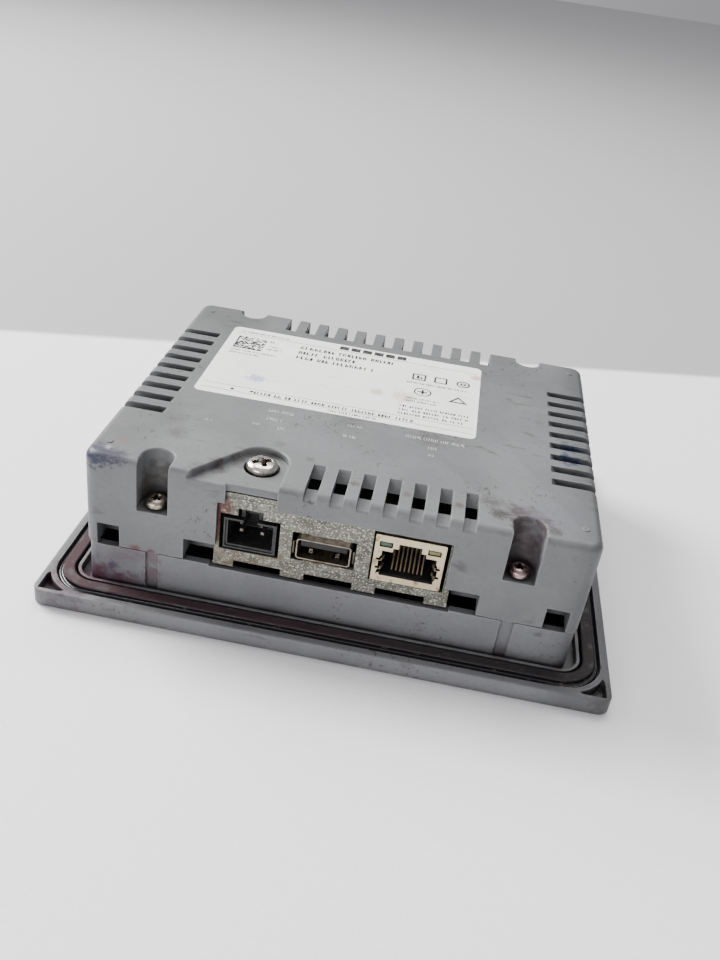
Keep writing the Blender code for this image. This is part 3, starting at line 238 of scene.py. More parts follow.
def moulded_plastic(name, tone, stains_and_shade):
    """Grey moulded plastic: grain, scuffs, grime and painted shade in the hollows, painted shade towards the
    back, the far left and the right side, pale worn edges, then its own spots of stain and of painted shade.
    """
    look = Look(name, specular=0.4)
    dark, light, pale = [tuple(min(c * k, 1) for c in tone) for k in (0.86, 1.08, 1.75)]
    colour = look.mix(look.span(look.noise(22, 4), 0.3, 0.7), dark, light)
    mottle = look.times(look.span(look.noise(1.1, 4), 0.4, 0.75), 0.22)
    colour = look.mix(mottle, colour, tuple(c * 0.62 for c in tone))
    # Painted shade: the plastic is darkened towards the back, towards the far left and on the right side,
    # following how the light falls.
    back = look.span(look.axis("Y"), -5, 52, 0.0, 0.28)
    left = look.span(look.axis("X"), -30, -58, 0.0, 0.32)
    right = look.span(look.axis("X"), 50, 61, 0.0, 0.62)
    painted_side_shade = look.math("ADD", look.math("ADD", back, left), right)
    colour = look.mix(painted_side_shade, colour, tuple(c * 0.45 for c in tone))
    # Darkening from an ambient-occlusion mask: partly grime, partly painted shade deep in slots, wells and
    # recesses. It is kept weak over the high ends of the front vents.
    high, front = look.span(look.axis("Z"), 30, 35), look.span(look.axis("Y"), -30, -37)
    away_from_front_vents = look.math("SUBTRACT", 1.0, look.times(high, front, 0.88))
    uneven = look.span(look.noise(6, 4, shift=9), 0.25, 0.7, 0.5, 0.92)
    grime_and_hollow_shade = look.times(look.hollows(3.6), uneven, away_from_front_vents)
    colour = look.mix(grime_and_hollow_shade, colour, (0.026, 0.022, 0.021))
    for size, stretch, shift, strength in ((2.6, (3.5, 0.8, 1.6), 3, 0.55), (1.2, (1, 1.8, 1), 41, 0.7)):
        scuffs = look.span(look.noise(size, 7, stretch, shift, 0.9), 0.58, 0.68)
        patches = look.span(look.noise(17, 3, shift=shift + 28), 0.50, 0.64)
        scuffs = look.times(scuffs, patches, strength)
        colour = look.mix(scuffs, colour, (0.040, 0.034, 0.029))
    specks = look.span(look.cells(2.1, "Distance"), 0.085, 0.05)
    specks = look.times(specks, look.span(look.noise(9, 2, shift=17), 0.53, 0.62))
    colour = look.mix(look.times(specks, 0.85), colour, (0.035, 0.025, 0.022))
    worn = look.span(look.noise(4, 5, shift=5), 0.40, 0.62, 0.12, 0.8)
    colour = look.mix(look.times(look.worn_edges(0.5), worn), colour, pale)
    # Stains, and spots of painted shade in the cover's screw wells, each over a broken mask.
    for centre, radius, soft, ragged, strength, tint in stains_and_shade:
        mask = look.spot(centre, radius, soft, ragged, shift=radius)
        broken = look.span(look.noise(1.6, 7, (2.4, 1, 1), radius * 3, 0.4), 0.36, 0.58, 0.48, 1.0)
        colour = look.mix(look.times(mask, broken, strength), colour, tint)
    grain = look.math("ADD", look.noise(0.24, 3), look.cells(0.42, "Distance"), clamp=False)
    roughness = look.span(look.noise(7, 4, shift=2), 0.3, 0.7, 0.42, 0.60)
    return look.finish(colour, roughness, grain, 0.022)


INK, PURPLE, BLUE = (0.012, 0.014, 0.045), (0.055, 0.013, 0.030), (0.006, 0.018, 0.06)
BROWN, SOOT = (0.060, 0.034, 0.024), (0.032, 0.028, 0.025)
# Each spot, a stain or painted shade: centre, radius, soft rim, unevenness (all in mm), strength and colour.
COVER_STAINS_AND_SHADE = (
    ((-57.8, -47.4, 39.8), 2.9, 1.2, 1.0, 0.96, INK),
    ((-54.4, -47.3, 40.1), 2.1, 1.3, 1.0, 0.92, (0.020, 0.020, 0.045)),
    ((-51.4, -47.6, 40.0), 1.2, 1.5, 1.0, 0.75, (0.030, 0.028, 0.050)),
    ((-58.2, -43.5, 40.2), 0.8, 1.2, 0.8, 0.5, (0.05, 0.035, 0.08)),
    ((-55.4, -44.9, 40.3), 0.4, 0.6, 0.6, 0.7, (0.42, 0.42, 0.45)),
    ((-53.4, -40.5, 40.2), 0.7, 0.5, 0.3, 0.6, (0.20, 0.07, 0.06)),
    ((-55.0, -49.2, 15.3), 1.0, 1.3, 0.6, 0.7, PURPLE),
    ((-47.5, -49.0, 15.2), 0.8, 1.0, 0.5, 0.8, (0.09, 0.006, 0.02)),
    ((-43.6, -49.0, 15.2), 0.6, 0.8, 0.4, 0.8, (0.09, 0.006, 0.02)),
    ((-33.6, -46.0, 39.6), 1.2, 1.6, 0.6, 0.6, (0.060, 0.040, 0.042)),
    ((-29.6, -42.6, 39.4), 1.4, 1.6, 0.6, 0.75, (0.045, 0.030, 0.032)),
    ((-25.4, -38.4, 39.2), 1.5, 1.4, 0.6, 0.7, (0.045, 0.034, 0.032)),
    # These three spots darken the front screw wells at x ±43.4: partly painted shade inside the wells,
    # partly brownish dirt.
    ((43.4, -42.0, 37.5), 4.2, 3.0, 1.5, 0.78, (0.036, 0.018, 0.018)),
    ((43.4, -42.5, 30.0), 4.5, 2.5, 1.0, 0.6, (0.050, 0.032, 0.034)),
    ((-43.4, -42.0, 30.0), 4.6, 4.0, 1.5, 0.72, (0.055, 0.046, 0.038)),
    ((48.5, -38.5, 40.2), 3.0, 6.0, 3.0, 0.25, (0.12, 0.115, 0.17)),
    ((36.0, -42.5, 40.2), 1.0, 1.6, 1.0, 0.8, SOOT),
    ((34.5, -38.0, 40.2), 1.2, 2.5, 1.2, 0.55, SOOT),
    ((49.0, -45.5, 40.0), 1.0, 1.2, 0.8, 0.7, SOOT),
    ((-42.5, -33.0, 40.2), 0.8, 3.0, 1.8, 0.55, SOOT),
    ((-45.0, -26.0, 40.2), 0.8, 3.0, 1.6, 0.4, SOOT),
    ((-18.0, -29.5, 40.2), 0.6, 1.4, 0.8, 0.5, SOOT),
    ((-9.5, -34.0, 40.2), 0.5, 0.8, 0.6, 0.75, SOOT),
    ((-4.0, -12.0, 40.2), 1.2, 4.0, 2.0, 0.4, SOOT),
    ((18.0, -13.5, 40.2), 1.2, 4.5, 2.2, 0.45, SOOT),
    ((2.4, -41.0, 40.2), 0.7, 0.7, 0.5, 0.9, BROWN),
    ((14.6, -41.5, 40.2), 0.5, 0.7, 0.5, 0.85, BROWN),
    ((26.8, -42.0, 40.2), 0.6, 0.8, 0.5, 0.9, BROWN),
    ((54.0, -4.5, 37.2), 2.6, 2.2, 1.2, 0.9, BLUE),
    ((54.0, -10.7, 37.2), 2.8, 2.2, 1.2, 0.92, BLUE),
    ((46.0, 46.0, 40.2), 0.8, 1.2, 0.8, 0.6, (0.015, 0.04, 0.12)),
)
FRAME_STAINS = (
    ((-62.0, -50.5, 2.0), 5.0, 4.0, 2.0, 0.75, PURPLE),
    ((-56.0, -49.5, 4.0), 3.5, 4.0, 2.0, 0.65, PURPLE),
    ((-49.0, -49.5, 3.6), 2.6, 2.5, 1.5, 0.55, PURPLE),
    ((-43.4, -49.0, 8.0), 1.9, 1.0, 0.5, 0.55, (0.085, 0.035, 0.050)),
    ((-43.4, -49.0, 13.0), 1.6, 1.0, 0.5, 0.45, (0.085, 0.035, 0.050)),
    ((-53.0, -49.0, 9.0), 0.9, 0.8, 0.5, 0.7, (0.028, 0.022, 0.050)),
    ((-50.0, -49.0, 14.6), 3.0, 3.0, 0.4, 0.35, PURPLE),
    ((-62.0, -57.0, 4.6), 2.5, 3.0, 2.0, 0.40, (0.040, 0.026, 0.045)),
    ((58.0, -49.5, 3.6), 1.2, 1.4, 0.8, 0.55, BROWN),
    ((68.5, -56.5, 4.5), 2.6, 2.5, 1.6, 0.5, SOOT),
    ((43.4, -49.0, 5.0), 1.5, 1.8, 0.5, 0.45, (0.05, 0.035, 0.038)),
)


def seal_rubber():
    """Black rubber whose raised ridge is covered in pinkish dust, more so towards -X."""
    look = Look("seal_rubber", specular=0.5)
    top = look.span(look.axis("Z"), SEAL_MAX.z - 0.55, SEAL_MAX.z - 0.1)
    dust = look.times(top, look.span(look.noise(3.5, 6, shift=4), 0.30, 0.60, 0.3, 0.92))
    towards_left = look.span(look.axis("X"), 50, -55)
    tint = look.mix(towards_left, (0.024, 0.020, 0.019), (0.046, 0.017, 0.023))
    colour = look.mix(dust, (0.007, 0.006, 0.008), tint)
    fluff = look.span(look.noise(0.8, 3, (2.5, 1, 1), 12), 0.62, 0.72)
    colour = look.mix(look.times(fluff, 0.4), colour, (0.16, 0.11, 0.10))
    roughness = look.span(dust, 0.0, 0.8, 0.22, 0.85)
    return look.finish(colour, roughness, look.noise(0.6, 5), 0.04)


def galvanised_sheet():
    """Zinc-coated sheet: spangle, fine light and dark speckle, and rust at the power port's corner."""
    look = Look("galvanised_sheet", metallic=0.85)
    spangle = look.node("ShaderNodeSeparateColor", {"Color": look.cells(1.7)}, "Red")
    colour = look.mix(spangle, (0.105, 0.106, 0.088), (0.195, 0.194, 0.162))
    speckle = look.span(look.noise(0.5, 3, shift=6), 0.54, 0.63)
    colour = look.mix(look.times(speckle, 0.82), colour, (0.52, 0.51, 0.45))
    dark = look.span(look.noise(0.55, 3, shift=23), 0.60, 0.68)
    colour = look.mix(look.times(dark, 0.75), colour, (0.085, 0.08, 0.06))
    rust = look.spot((-27.6, -48, 31.0), 2.6, 1.6, 1.0, 8)
    rust = look.times(rust, look.span(look.noise(0.8, 4), 0.3, 0.5))
    colour = look.mix(look.times(rust, 0.85), colour, (0.085, 0.030, 0.026))
    strip = look.times(look.span(look.axis("X"), -26.9, -27.3), look.span(look.axis("Z"), 20.5, 22.5))
    colour = look.mix(look.times(strip, 0.9), colour, (0.075, 0.024, 0.024))
    dirt = look.spot((-21, -48, 17.5), 7, 6, 3, 5)
    dirt = look.times(dirt, look.span(look.noise(2.2, 5, shift=31), 0.35, 0.62))
    colour = look.mix(look.times(dirt, 0.7), colour, (0.15, 0.120, 0.085))
    hollow = look.times(look.hollows(2.0), 0.6)
    colour = look.mix(hollow, colour, (0.06, 0.052, 0.04))
    roughness = look.span(look.noise(0.7, 3, shift=1), 0.3, 0.7, 0.34, 0.62)
    return look.finish(colour, roughness, look.noise(0.5, 4), 0.018)


def plated_metal(name, bright, tarnish, amount, roughness=(0.24, 0.42), grain=0.8):
    """Plated metal with blotches and pinpricks of tarnish."""
    look = Look(name, metallic=1.0)
    blotch = look.span(look.noise(grain * 2.2, 5, shift=14), 0.62 - amount * 0.35, 0.72)
    colour = look.mix(look.times(blotch, 0.85), bright, tarnish)
    pricks = look.span(look.noise(grain * 0.35, 2, shift=2), 0.68, 0.76)
    colour = look.mix(look.times(pricks, 0.7), colour, tuple(c * 0.35 for c in tarnish))
    hollow = look.times(look.hollows(1.8), 0.92)
    colour = look.mix(hollow, colour, tuple(c * 0.15 for c in tarnish))
    rough = look.span(look.noise(grain, 4), 0.3, 0.7, *roughness)
    return look.finish(colour, rough, look.noise(grain * 0.6, 4), 0.008)


def dusty_plastic(name, tone, dust=(0.12, 0.11, 0.10), amount=0.3, roughness=(0.35, 0.5)):
    """Dark moulded plastic with a little settled dust."""
    look = Look(name, specular=0.45)
    colour = look.mix(look.span(look.noise(5, 4), 0.3, 0.7), tone, tuple(c * 1.5 + 0.004 for c in tone))
    film = look.span(look.noise(1.3, 5, shift=7), 0.5, 0.72)
    colour = look.mix(look.times(film, amount), colour, dust)
    edge = look.times(look.worn_edges(0.2), 0.35)
    colour = look.mix(edge, colour, tuple(min(c * 3 + 0.03, 1) for c in tone))
    return look.finish(colour, look.span(film, 0, 1, *roughness), look.noise(0.3, 3), 0.012)


def label_foil():
    """White label foil with rubbed grey and brown smudges and two small coloured marks."""
    look = Look("label_foil", specular=0.5)
    colour = look.mix(look.span(look.noise(14, 4), 0.35, 0.7), (0.86, 0.86, 0.84), (0.93, 0.93, 0.915))
    rubbed = look.span(look.noise(4.5, 6, (2.4, 0.8, 1), 11, 0.8), 0.57, 0.70)
    colour = look.mix(look.times(rubbed, 0.30), colour, (0.52, 0.49, 0.43))
    marks = (((-32.0, 3.0, 40.3), 1.3, (0.12, 0.12, 0.5)), ((1.0, 8.0, 40.3), 1.0, (0.5, 0.22, 0.14)),
             ((8.5, 8.0, 40.3), 1.8, (0.55, 0.40, 0.28)), ((28.0, 28.5, 40.3), 0.9, (0.55, 0.06, 0.06)))
    for centre, radius, tint in marks:
        mask = look.spot(centre, radius, radius * 1.4, radius * 0.8, radius * 9)
        colour = look.mix(look.times(mask, 0.55), colour, tint)
    return look.finish(colour, look.span(rubbed, 0, 1, 0.36, 0.55), look.noise(3.0, 3), 0.01)


def print_ink(name, tone, worn):
    """Printed ink, rubbed thin in places."""
    look = Look(name, specular=0.3)
    colour = look.mix(look.span(look.noise(0.9, 4, shift=3), 0.55, 0.72), tone, worn)
    return look.finish(colour, look.span(look.noise(2, 2), 0.3, 0.7, 0.45, 0.6))


def board_laminate():
    """Green circuit board with fine tracks and bright pads."""
    look = Look("board_laminate", specular=0.5)
    tracks = look.span(look.cells(1.6, "Distance"), 0.30, 0.34)
    colour = look.mix(tracks, (0.004, 0.020, 0.012), (0.008, 0.040, 0.020))
    pads = look.span(look.cells(2.7, "Distance"), 0.16, 0.13)
    colour = look.mix(look.times(pads, 0.6), colour, (0.30, 0.28, 0.20))
    return look.finish(colour, look.span(pads, 0, 1, 0.32, 0.22), tracks, 0.03)


def front_film():
    """Dark printed film with a fine satin texture and faint wiping marks."""
    look = Look("front_film", specular=0.5)
    wiped = look.span(look.noise(9, 6, (3, 0.6, 1), 5, 0.5), 0.45, 0.7)
    colour = look.mix(look.times(wiped, 0.25), (0.022, 0.024, 0.028), (0.055, 0.057, 0.06))
    return look.finish(colour, look.span(wiped, 0, 1, 0.30, 0.46), look.noise(0.16, 2), 0.008)


def screen_glass():
    """Touch glass over a dark display, with faint finger marks."""
    look = Look("screen_glass", specular=0.6)
    look.shader.inputs["Coat Weight"].default_value = 0.6
    look.shader.inputs["Coat Roughness"].default_value = 0.04
    smear = look.span(look.noise(7, 6, (1.8, 0.7, 1), 2, 1.2), 0.5, 0.75)
    colour = look.mix(look.times(smear, 0.35), (0.008, 0.010, 0.013), (0.030, 0.033, 0.037))
    return look.finish(colour, look.span(smear, 0, 1, 0.07, 0.22))


def light_lens(name, tone):
    look = Look(name, specular=0.6)
    colour = look.mix(look.span(look.noise(0.7, 3), 0.3, 0.7), tuple(c * 0.7 for c in tone), tone)
    return look.finish(colour, look.span(look.noise(0.5, 2), 0.3, 0.7, 0.22, 0.4))


FLOOR_END_ACROSS, FLOOR_END = (-0.263, 0.965, 0.0), 120.0  # the floor darkens this far along this way


def floor_sheet():
    """Pale foam sheet with a faint sparkle, and darker beyond a line behind the panel."""
    look = Look("floor_sheet", specular=0.3)
    sparkle = look.span(look.noise(0.9, 3), 0.5, 0.72)
    colour = look.mix(look.times(sparkle, 0.5), (0.90, 0.90, 0.915), (0.99, 0.99, 1.0))
    towards_back = look.vector("DOT_PRODUCT", look.place, FLOOR_END_ACROSS, "Value")
    back = look.span(towards_back, FLOOR_END - 2, FLOOR_END + 3)
    colour = look.mix(look.times(back, 0.92), colour, (0.36, 0.348, 0.356))
    return look.finish(colour, look.span(sparkle, 0, 1, 0.55, 0.4), look.noise(1.1, 4), 0.05)


COVER_PLASTIC = moulded_plastic("cover_plastic", (0.138, 0.144, 0.147), COVER_STAINS_AND_SHADE)
FRAME_PLASTIC = moulded_plastic("frame_plastic", (0.150, 0.153, 0.160), FRAME_STAINS)
RUBBER = seal_rubber()
ZINC = galvanised_sheet()
JACK_METAL = plated_metal("jack_metal", (0.56, 0.48, 0.33), (0.24, 0.16, 0.08), 0.16, (0.34, 0.5))
USB_METAL = plated_metal("usb_metal", (0.30, 0.265, 0.215), (0.12, 0.085, 0.055), 0.6, (0.36, 0.55))
PIN_METAL = plated_metal("pin_metal", (0.20, 0.19, 0.165), (0.10, 0.08, 0.06), 0.4, (0.42, 0.6))
NICKEL = plated_metal("nickel", (0.66, 0.62, 0.57), (0.32, 0.26, 0.21), 0.1, (0.16, 0.3))
BRASSY = plated_metal("brassy_zinc", (0.42, 0.38, 0.31), (0.15, 0.11, 0.08), 0.4, (0.28, 0.45))
PINKISH = plated_metal("stained_zinc", (0.36, 0.27, 0.25), (0.12, 0.07, 0.065), 0.4, (0.28, 0.45))
GOLD = plated_metal("gold_contact", (0.85, 0.68, 0.45), (0.40, 0.26, 0.14), 0.15, (0.45, 0.6), 0.4)
BLACK = dusty_plastic("black_plastic", (0.012, 0.012, 0.013))
PORT_BLACK = dusty_plastic("port_black", (0.005, 0.005, 0.006), amount=0.10, roughness=(0.55, 0.7))
KEY_PLASTIC = dusty_plastic("key_plastic", (0.22, 0.23, 0.24), (0.3, 0.29, 0.28), 0.2, (0.38, 0.5))
RIBBON = dusty_plastic("ribbon_plastic", (0.62, 0.62, 0.60), (0.4, 0.38, 0.35), 0.2)
LABEL = label_foil()
LABEL_INK = print_ink("label_ink", (0.018, 0.018, 0.02), (0.22, 0.21, 0.20))
MARK_INK = print_ink("mark_ink", (0.40, 0.40, 0.385), (0.24, 0.25, 0.25))
KEY_INK = print_ink("key_ink", (0.020, 0.020, 0.022), (0.05, 0.05, 0.05))
LAMINATE = board_laminate()
FILM = front_film()
GLASS = screen_glass()
GREEN_LENS = light_lens("green_lens", (0.035, 0.075, 0.040))
YELLOW_LENS = light_lens("yellow_lens", (0.15, 0.14, 0.05))


# ---------------------------------------------------------------- shapes, as bmeshes in millimetres

def box(low, high, round_by=0.0, steps=2):
    low, high = Vector(low), Vector(high)
    matrix = Matrix.Translation((low + high) / 2) @ Matrix.Diagonal((*(high - low), 1))
    bm = bmesh.new()
    bmesh.ops.create_cube(bm, size=1, matrix=matrix)
    if round_by:
        bmesh.ops.bevel(bm, geom=bm.edges[:], offset=round_by, segments=steps, affect="EDGES", profile=0.5)
    return bm


def cylinder(x, y, radius, low, high, steps=40):
    matrix = Matrix.Translation((x, y, (low + high) / 2))
    bm = bmesh.new()
    bmesh.ops.create_cone(bm, cap_ends=True, segments=steps, radius1=radius, radius2=radius,
                          depth=high - low, matrix=matrix)
    return bm


PRISM_AXES = {
    "X": Matrix(((0, 0, 1, 0), (1, 0, 0, 0), (0, 1, 0, 0), (0, 0, 0, 1))),
    "Y": Matrix(((1, 0, 0, 0), (0, 0, 1, 0), (0, 1, 0, 0), (0, 0, 0, 1))),
    "Z": Matrix.Identity(4),
}


def prism(outlines, low, high, axis="Z"):
    """A straight solid along an axis. The first outline is the outside and the rest are holes."""
    if not isinstance(outlines[0], list):
        outlines = [outlines]
    bm = bmesh.new()
    for outline in outlines:
        ring = [bm.verts.new((u, v, low)) for u, v in outline]
        for start, end in zip(ring, ring[1:] + ring[:1]):
            bm.edges.new((start, end))
    if len(outlines) == 1:
        bmesh.ops.contextual_create(bm, geom=bm.edges[:])
    else:
        bmesh.ops.triangle_fill(bm, use_beauty=True, edges=bm.edges[:])
    extruded = bmesh.ops.extrude_face_region(bm, geom=bm.faces[:])["geom"]
    raised = [item for item in extruded if isinstance(item, bmesh.types.BMVert)]
    bmesh.ops.translate(bm, verts=raised, vec=(0, 0, high - low))
    bmesh.ops.transform(bm, matrix=PRISM_AXES[axis], verts=bm.verts[:])
    bmesh.ops.recalc_face_normals(bm, faces=bm.faces[:])
    return bm


def loft(rings):
    """A solid through closed outlines of equal point counts. Each ring is (outline, height)."""
    bm = bmesh.new()
    loops = [[bm.verts.new((u, v, z)) for u, v in outline] for outline, z in rings]
    bm.faces.new(loops[0][::-1])
    bm.faces.new(loops[-1])
    for below, above in zip(loops, loops[1:]):
        for i, vert in enumerate(below):
            bm.faces.new((below[i - 1], vert, above[i], above[i - 1]))
    bmesh.ops.recalc_face_normals(bm, faces=bm.faces[:])
    return bm


def flared(outline, low, high, radius, steps=5):
    """A cutter whose mouth opens out in a quarter round. outline(growth) gives its outline."""
    rings = [(outline(0), low)]
    for i in range(steps + 1):
        angle = math.radians(90 * i / steps)
        rings.append((outline(radius * (1 - math.cos(angle))), high - radius * (1 - math.sin(angle))))
    return loft(rings + [(outline(radius), high + THROUGH)])


def arc(x, y, radius, start, end, steps):
    angles = [math.radians(start + (end - start) * i / steps) for i in range(steps + 1)]
    return [(x + radius * math.cos(a), y + radius * math.sin(a)) for a in angles]


def rounded_rectangle(half_x, low_y, high_y, radius, steps=10, shrink=0.0, middle=0.0):
    x, low, high, r = half_x - shrink, low_y + shrink, high_y - shrink, max(radius - shrink, 0.4)
    points = []
    corners = ((x - r, low + r, -90), (x - r, high - r, 0), (r - x, high - r, 90), (r - x, low + r, 180))
    for cx, cy, start in corners:
        points += arc(cx + middle, cy, r, start, start + 90, steps)
    return points


def slot_outline(x, y, radius, open_y, steps=24):
    turn = 1 if open_y < y else -1
    ends = arc(x, y, radius, 0, 180 * turn, steps)
    return [(x + radius, open_y)] + ends + [(x - radius, open_y)]


def fillet(bm, radius, steps, chosen):
    edges = [edge for edge in bm.edges if chosen(*[vert.co for vert in edge.verts])]
    bmesh.ops.bevel(bm, geom=edges, offset=radius, segments=steps, affect="EDGES", profile=0.5)
    return bm


def together(*shapes):
    """Several shapes in one bmesh."""
    bm = bmesh.new()
    for shape in shapes:
        mesh = bpy.data.meshes.new("part")
        shape.to_mesh(mesh)
        bm.from_mesh(mesh)
        shape.free()
        bpy.data.meshes.remove(mesh)
    return bm


def loose(bm, name):
    """A bmesh as an object in the scene, still in millimetres."""
    mesh = bpy.data.meshes.new(name)
    bm.to_mesh(mesh)
    bm.free()
    obj = bpy.data.objects.new(name, mesh)
    bpy.context.scene.collection.objects.link(obj)
    return obj


def cut(*shapes):
    return "DIFFERENCE", shapes[0] if len(shapes) == 1 else together(*shapes)


def join(*shapes):
    return "UNION", shapes[0] if len(shapes) == 1 else together(*shapes)


def carve(bm, *steps):
    """Runs cut() and join() steps on a shape, in order, and returns the result."""
    obj = loose(bm, "carved")
    helpers = []
    for operation, shape in steps:
        helper = loose(shape, "helper")
        modifier = obj.modifiers.new("step", "BOOLEAN")
        modifier.operation = operation
        modifier.object = helper
        helpers.append(helper)
    result = bmesh.new()
    result.from_object(obj, bpy.context.evaluated_depsgraph_get())
    for used in (obj, *helpers):
        mesh = used.data
        bpy.data.objects.remove(used)
        bpy.data.meshes.remove(mesh)
    bmesh.ops.remove_doubles(result, verts=result.verts[:], dist=0.002)
    bmesh.ops.dissolve_limit(result, angle_limit=math.radians(0.4),
                             verts=result.verts[:], edges=result.edges[:])
    return result


def piece(name, bm, material, replaces=(), body=HOUSING, soften=0.0, sharp=32):
    """A finished piece in metres. Its sharp edges are rounded by soften millimetres."""
    bmesh.ops.transform(bm, matrix=Matrix.Scale(MM, 4), verts=bm.verts[:])
    obj = loose(bm, name)
    obj.data.materials.append(material)
    obj.data.shade_smooth()
    obj.data.set_sharp_from_angle(angle=math.radians(sharp))
    if soften:
        bevel = obj.modifiers.new("soft_edges", "BEVEL")
        bevel.width = soften * MM
        bevel.segments = 3
        bevel.limit_method = "ANGLE"
        bevel.angle_limit = math.radians(sharp)
        bevel.use_clamp_overlap = False
        bevel.harden_normals = True
    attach(obj, body)
    if replaces:
        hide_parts(*replaces)
    return obj


def centred(middle, pitch, count):
    return [middle + pitch * (i - (count - 1) / 2) for i in range(count)]


# ---------------------------------------------------------------- front frame and seal

def collar_outline(shrink=0.0):
    return rounded_rectangle(COLLAR_X, COLLAR_FRONT, COLLAR_BACK, COLLAR_R, 10, shrink)


def rib_outline(shrink=0.0):
    return rounded_rectangle(RIB_X, -RIB_Y, RIB_Y, RIB_R, 12, shrink)


def groove_outline(shrink=0.0):
    return rounded_rectangle(GROOVE_X, -GROOVE_Y, GROOVE_Y, GROOVE_R, 20, shrink)


def corner_pocket(side_x, side_y):
    x, y = BEZEL_HIGH.x - CORNER_POCKET_WALL, BEZEL_HIGH.y - CORNER_POCKET_WALL
    rim = GROOVE_R + CORNER_POCKET_WALL
    bend = arc(GROOVE_X - GROOVE_R, GROOVE_Y - GROOVE_R, rim, 68, 22, 12)
    bend = [(min(u, x), min(v, y)) for u, v in bend]
    outline = [(x - CORNER_POCKET_LEG, y)] + bend[1:-1] + [(x, y - CORNER_POCKET_LEG), (x, y)]
    return prism([(u * side_x, v * side_y) for u, v in outline], CORNER_POCKET_FLOOR, BEZEL_H + THROUGH)


def key_window(node, low, high):
    key_low, key_high = edges_of(node)
    inset = KEY_FLANGE - INSERT_GAP
    return box((key_low.x + inset, key_low.y + inset, low), (key_high.x - inset, key_high.y - inset, high))


KEYS = [f"key_cap_{number}" for number in range(1, 5)]


def front_frame():
    slab = prism(rounded_rectangle(BEZEL_HIGH.x, BEZEL_LOW.y, BEZEL_HIGH.y, BEZEL_R, 10), 0, BEZEL_H)
    fillet(slab, 0.5, 4, lambda a, b: abs(a.z - b.z) < CLOSE)
    film = rounded_rectangle(FILM_MAX.x, FILM_MIN.y, FILM_MAX.y, FILM_R, 8, -FILM_GAP)
    root, step_x = GROOVE_FLOOR - 0.5, FLANGE_X + 0.6
    steps = [
        cut(prism(film, -THROUGH, FACE_FLOOR)),
        cut(prism(groove_outline(), GROOVE_FLOOR, BEZEL_H + THROUGH)),
        join(prism([rib_outline(), rib_outline(RIB_WALL)], root, RIB_TOP)),
        join(prism([collar_outline(), collar_outline(WALL)], root, COLLAR_TOP)),
        join(prism(collar_outline(WALL / 2), root, PLATE_TOP)),
        cut(box((-step_x, COLLAR_FRONT - THROUGH, COLLAR_LOW_TOP),
                (step_x, COLLAR_FRONT + WALL + 1, COLLAR_TOP + THROUGH))),
        cut(box((-step_x, COLLAR_BACK - WALL - 1, COLLAR_LOW_TOP),
                (step_x, COLLAR_BACK + THROUGH, COLLAR_TOP + THROUGH))),
        cut(box((GLASS_MIN.x - INSERT_GAP, GLASS_MIN.y - INSERT_GAP, 0),
                (GLASS_MAX.x + INSERT_GAP, GLASS_MAX.y + INSERT_GAP, PLATE_TOP + 5))),
    ]
    steps += [cut(key_window(node, FACE_FLOOR - THROUGH, PLATE_TOP + THROUGH)) for node in KEYS]
    steps += [cut(corner_pocket(sx, sy)) for sx in (-1, 1) for sy in (-1, 1)]
    half = COLLAR_NOTCH_W / 2
    for x in (-WELL_X, WELL_X):
        for edge, out in ((COLLAR_FRONT, -1), (COLLAR_BACK, 1)):
            ys = sorted((edge - out * COLLAR_NOTCH_D, edge + out * THROUGH))
            steps.append(cut(box((x - half, ys[0], GROOVE_FLOOR + 0.6),
                                 (x + half, ys[1], COLLAR_TOP + THROUGH))))
    bosses = []
    for name in [f"cover_screw_{number}" for number in range(1, 5)]:
        low, high = edges_of(name)
        x, y = (low.x + high.x) / 2, (low.y + high.y) / 2
        bosses.append((x, y, 2.6 if y < 0 else 2.2))
    steps += [join(cylinder(x, y, r, PLATE_TOP - 1, WELL_BASE - 0.4)) for x, y, r in bosses]
    steps += [cut(cylinder(x, y, 1.5, PLATE_TOP + 1, WELL_BASE + THROUGH)) for x, y, _ in bosses]
    shape = carve(slab, *steps)
    piece("bezel_and_collar", shape, FRAME_PLASTIC, ("front_frame",), soften=0.14)


def mounting_seal():
    """A low glossy outer lip and a taller rounded ridge, as one soft ring."""
    inner = rib_outline(-SEAL_GAP)
    lip = prism([groove_outline(SEAL_GAP), inner], SEAL_MIN.z, SEAL_LIP_TOP)
    ridge = [groove_outline(SEAL_GAP + SEAL_LIP_W), rib_outline(-SEAL_GAP - 0.3)]
    ridge = prism(ridge, SEAL_LIP_TOP - 0.4, SEAL_MAX.z)
    shape = carve(lip, join(ridge))
    piece("seal_ring", shape, RUBBER, ("mounting_seal",), soften=0.45, sharp=50)


# ---------------------------------------------------------------- rear cover

def ground_recess_outline(grow):
    """Sloped wall on the left, round end about the screw, and a straight right wall."""
    start = Vector((GROUND_START_X, CASE_FRONT - THROUGH))
    to_centre = GROUND - start
    heading = math.atan2(to_centre.y, to_centre.x) + math.asin(GROUND_R / to_centre.length)
    start += grow * Vector((-math.sin(heading), math.cos(heading)))
    bend = arc(GROUND.x, GROUND.y, GROUND_R + grow, math.degrees(heading) + 90, 0, 24)
    return [tuple(start)] + bend + [(GROUND.x + GROUND_R + grow, CASE_FRONT - THROUGH)]


def vent_profile(inner, ledge, low, run, ramp_low):
    """A slot's side view: a ramp runs down from its inner end, and the rest is cut straight to low."""
    foot = inner + math.copysign(run, ledge - inner)
    top = CASE_TOP + THROUGH
    ramp = [(foot, low), (foot, ramp_low), (inner, CASE_TOP + 0.05)]
    return ramp + [(inner, top), (ledge, top), (ledge, low)]


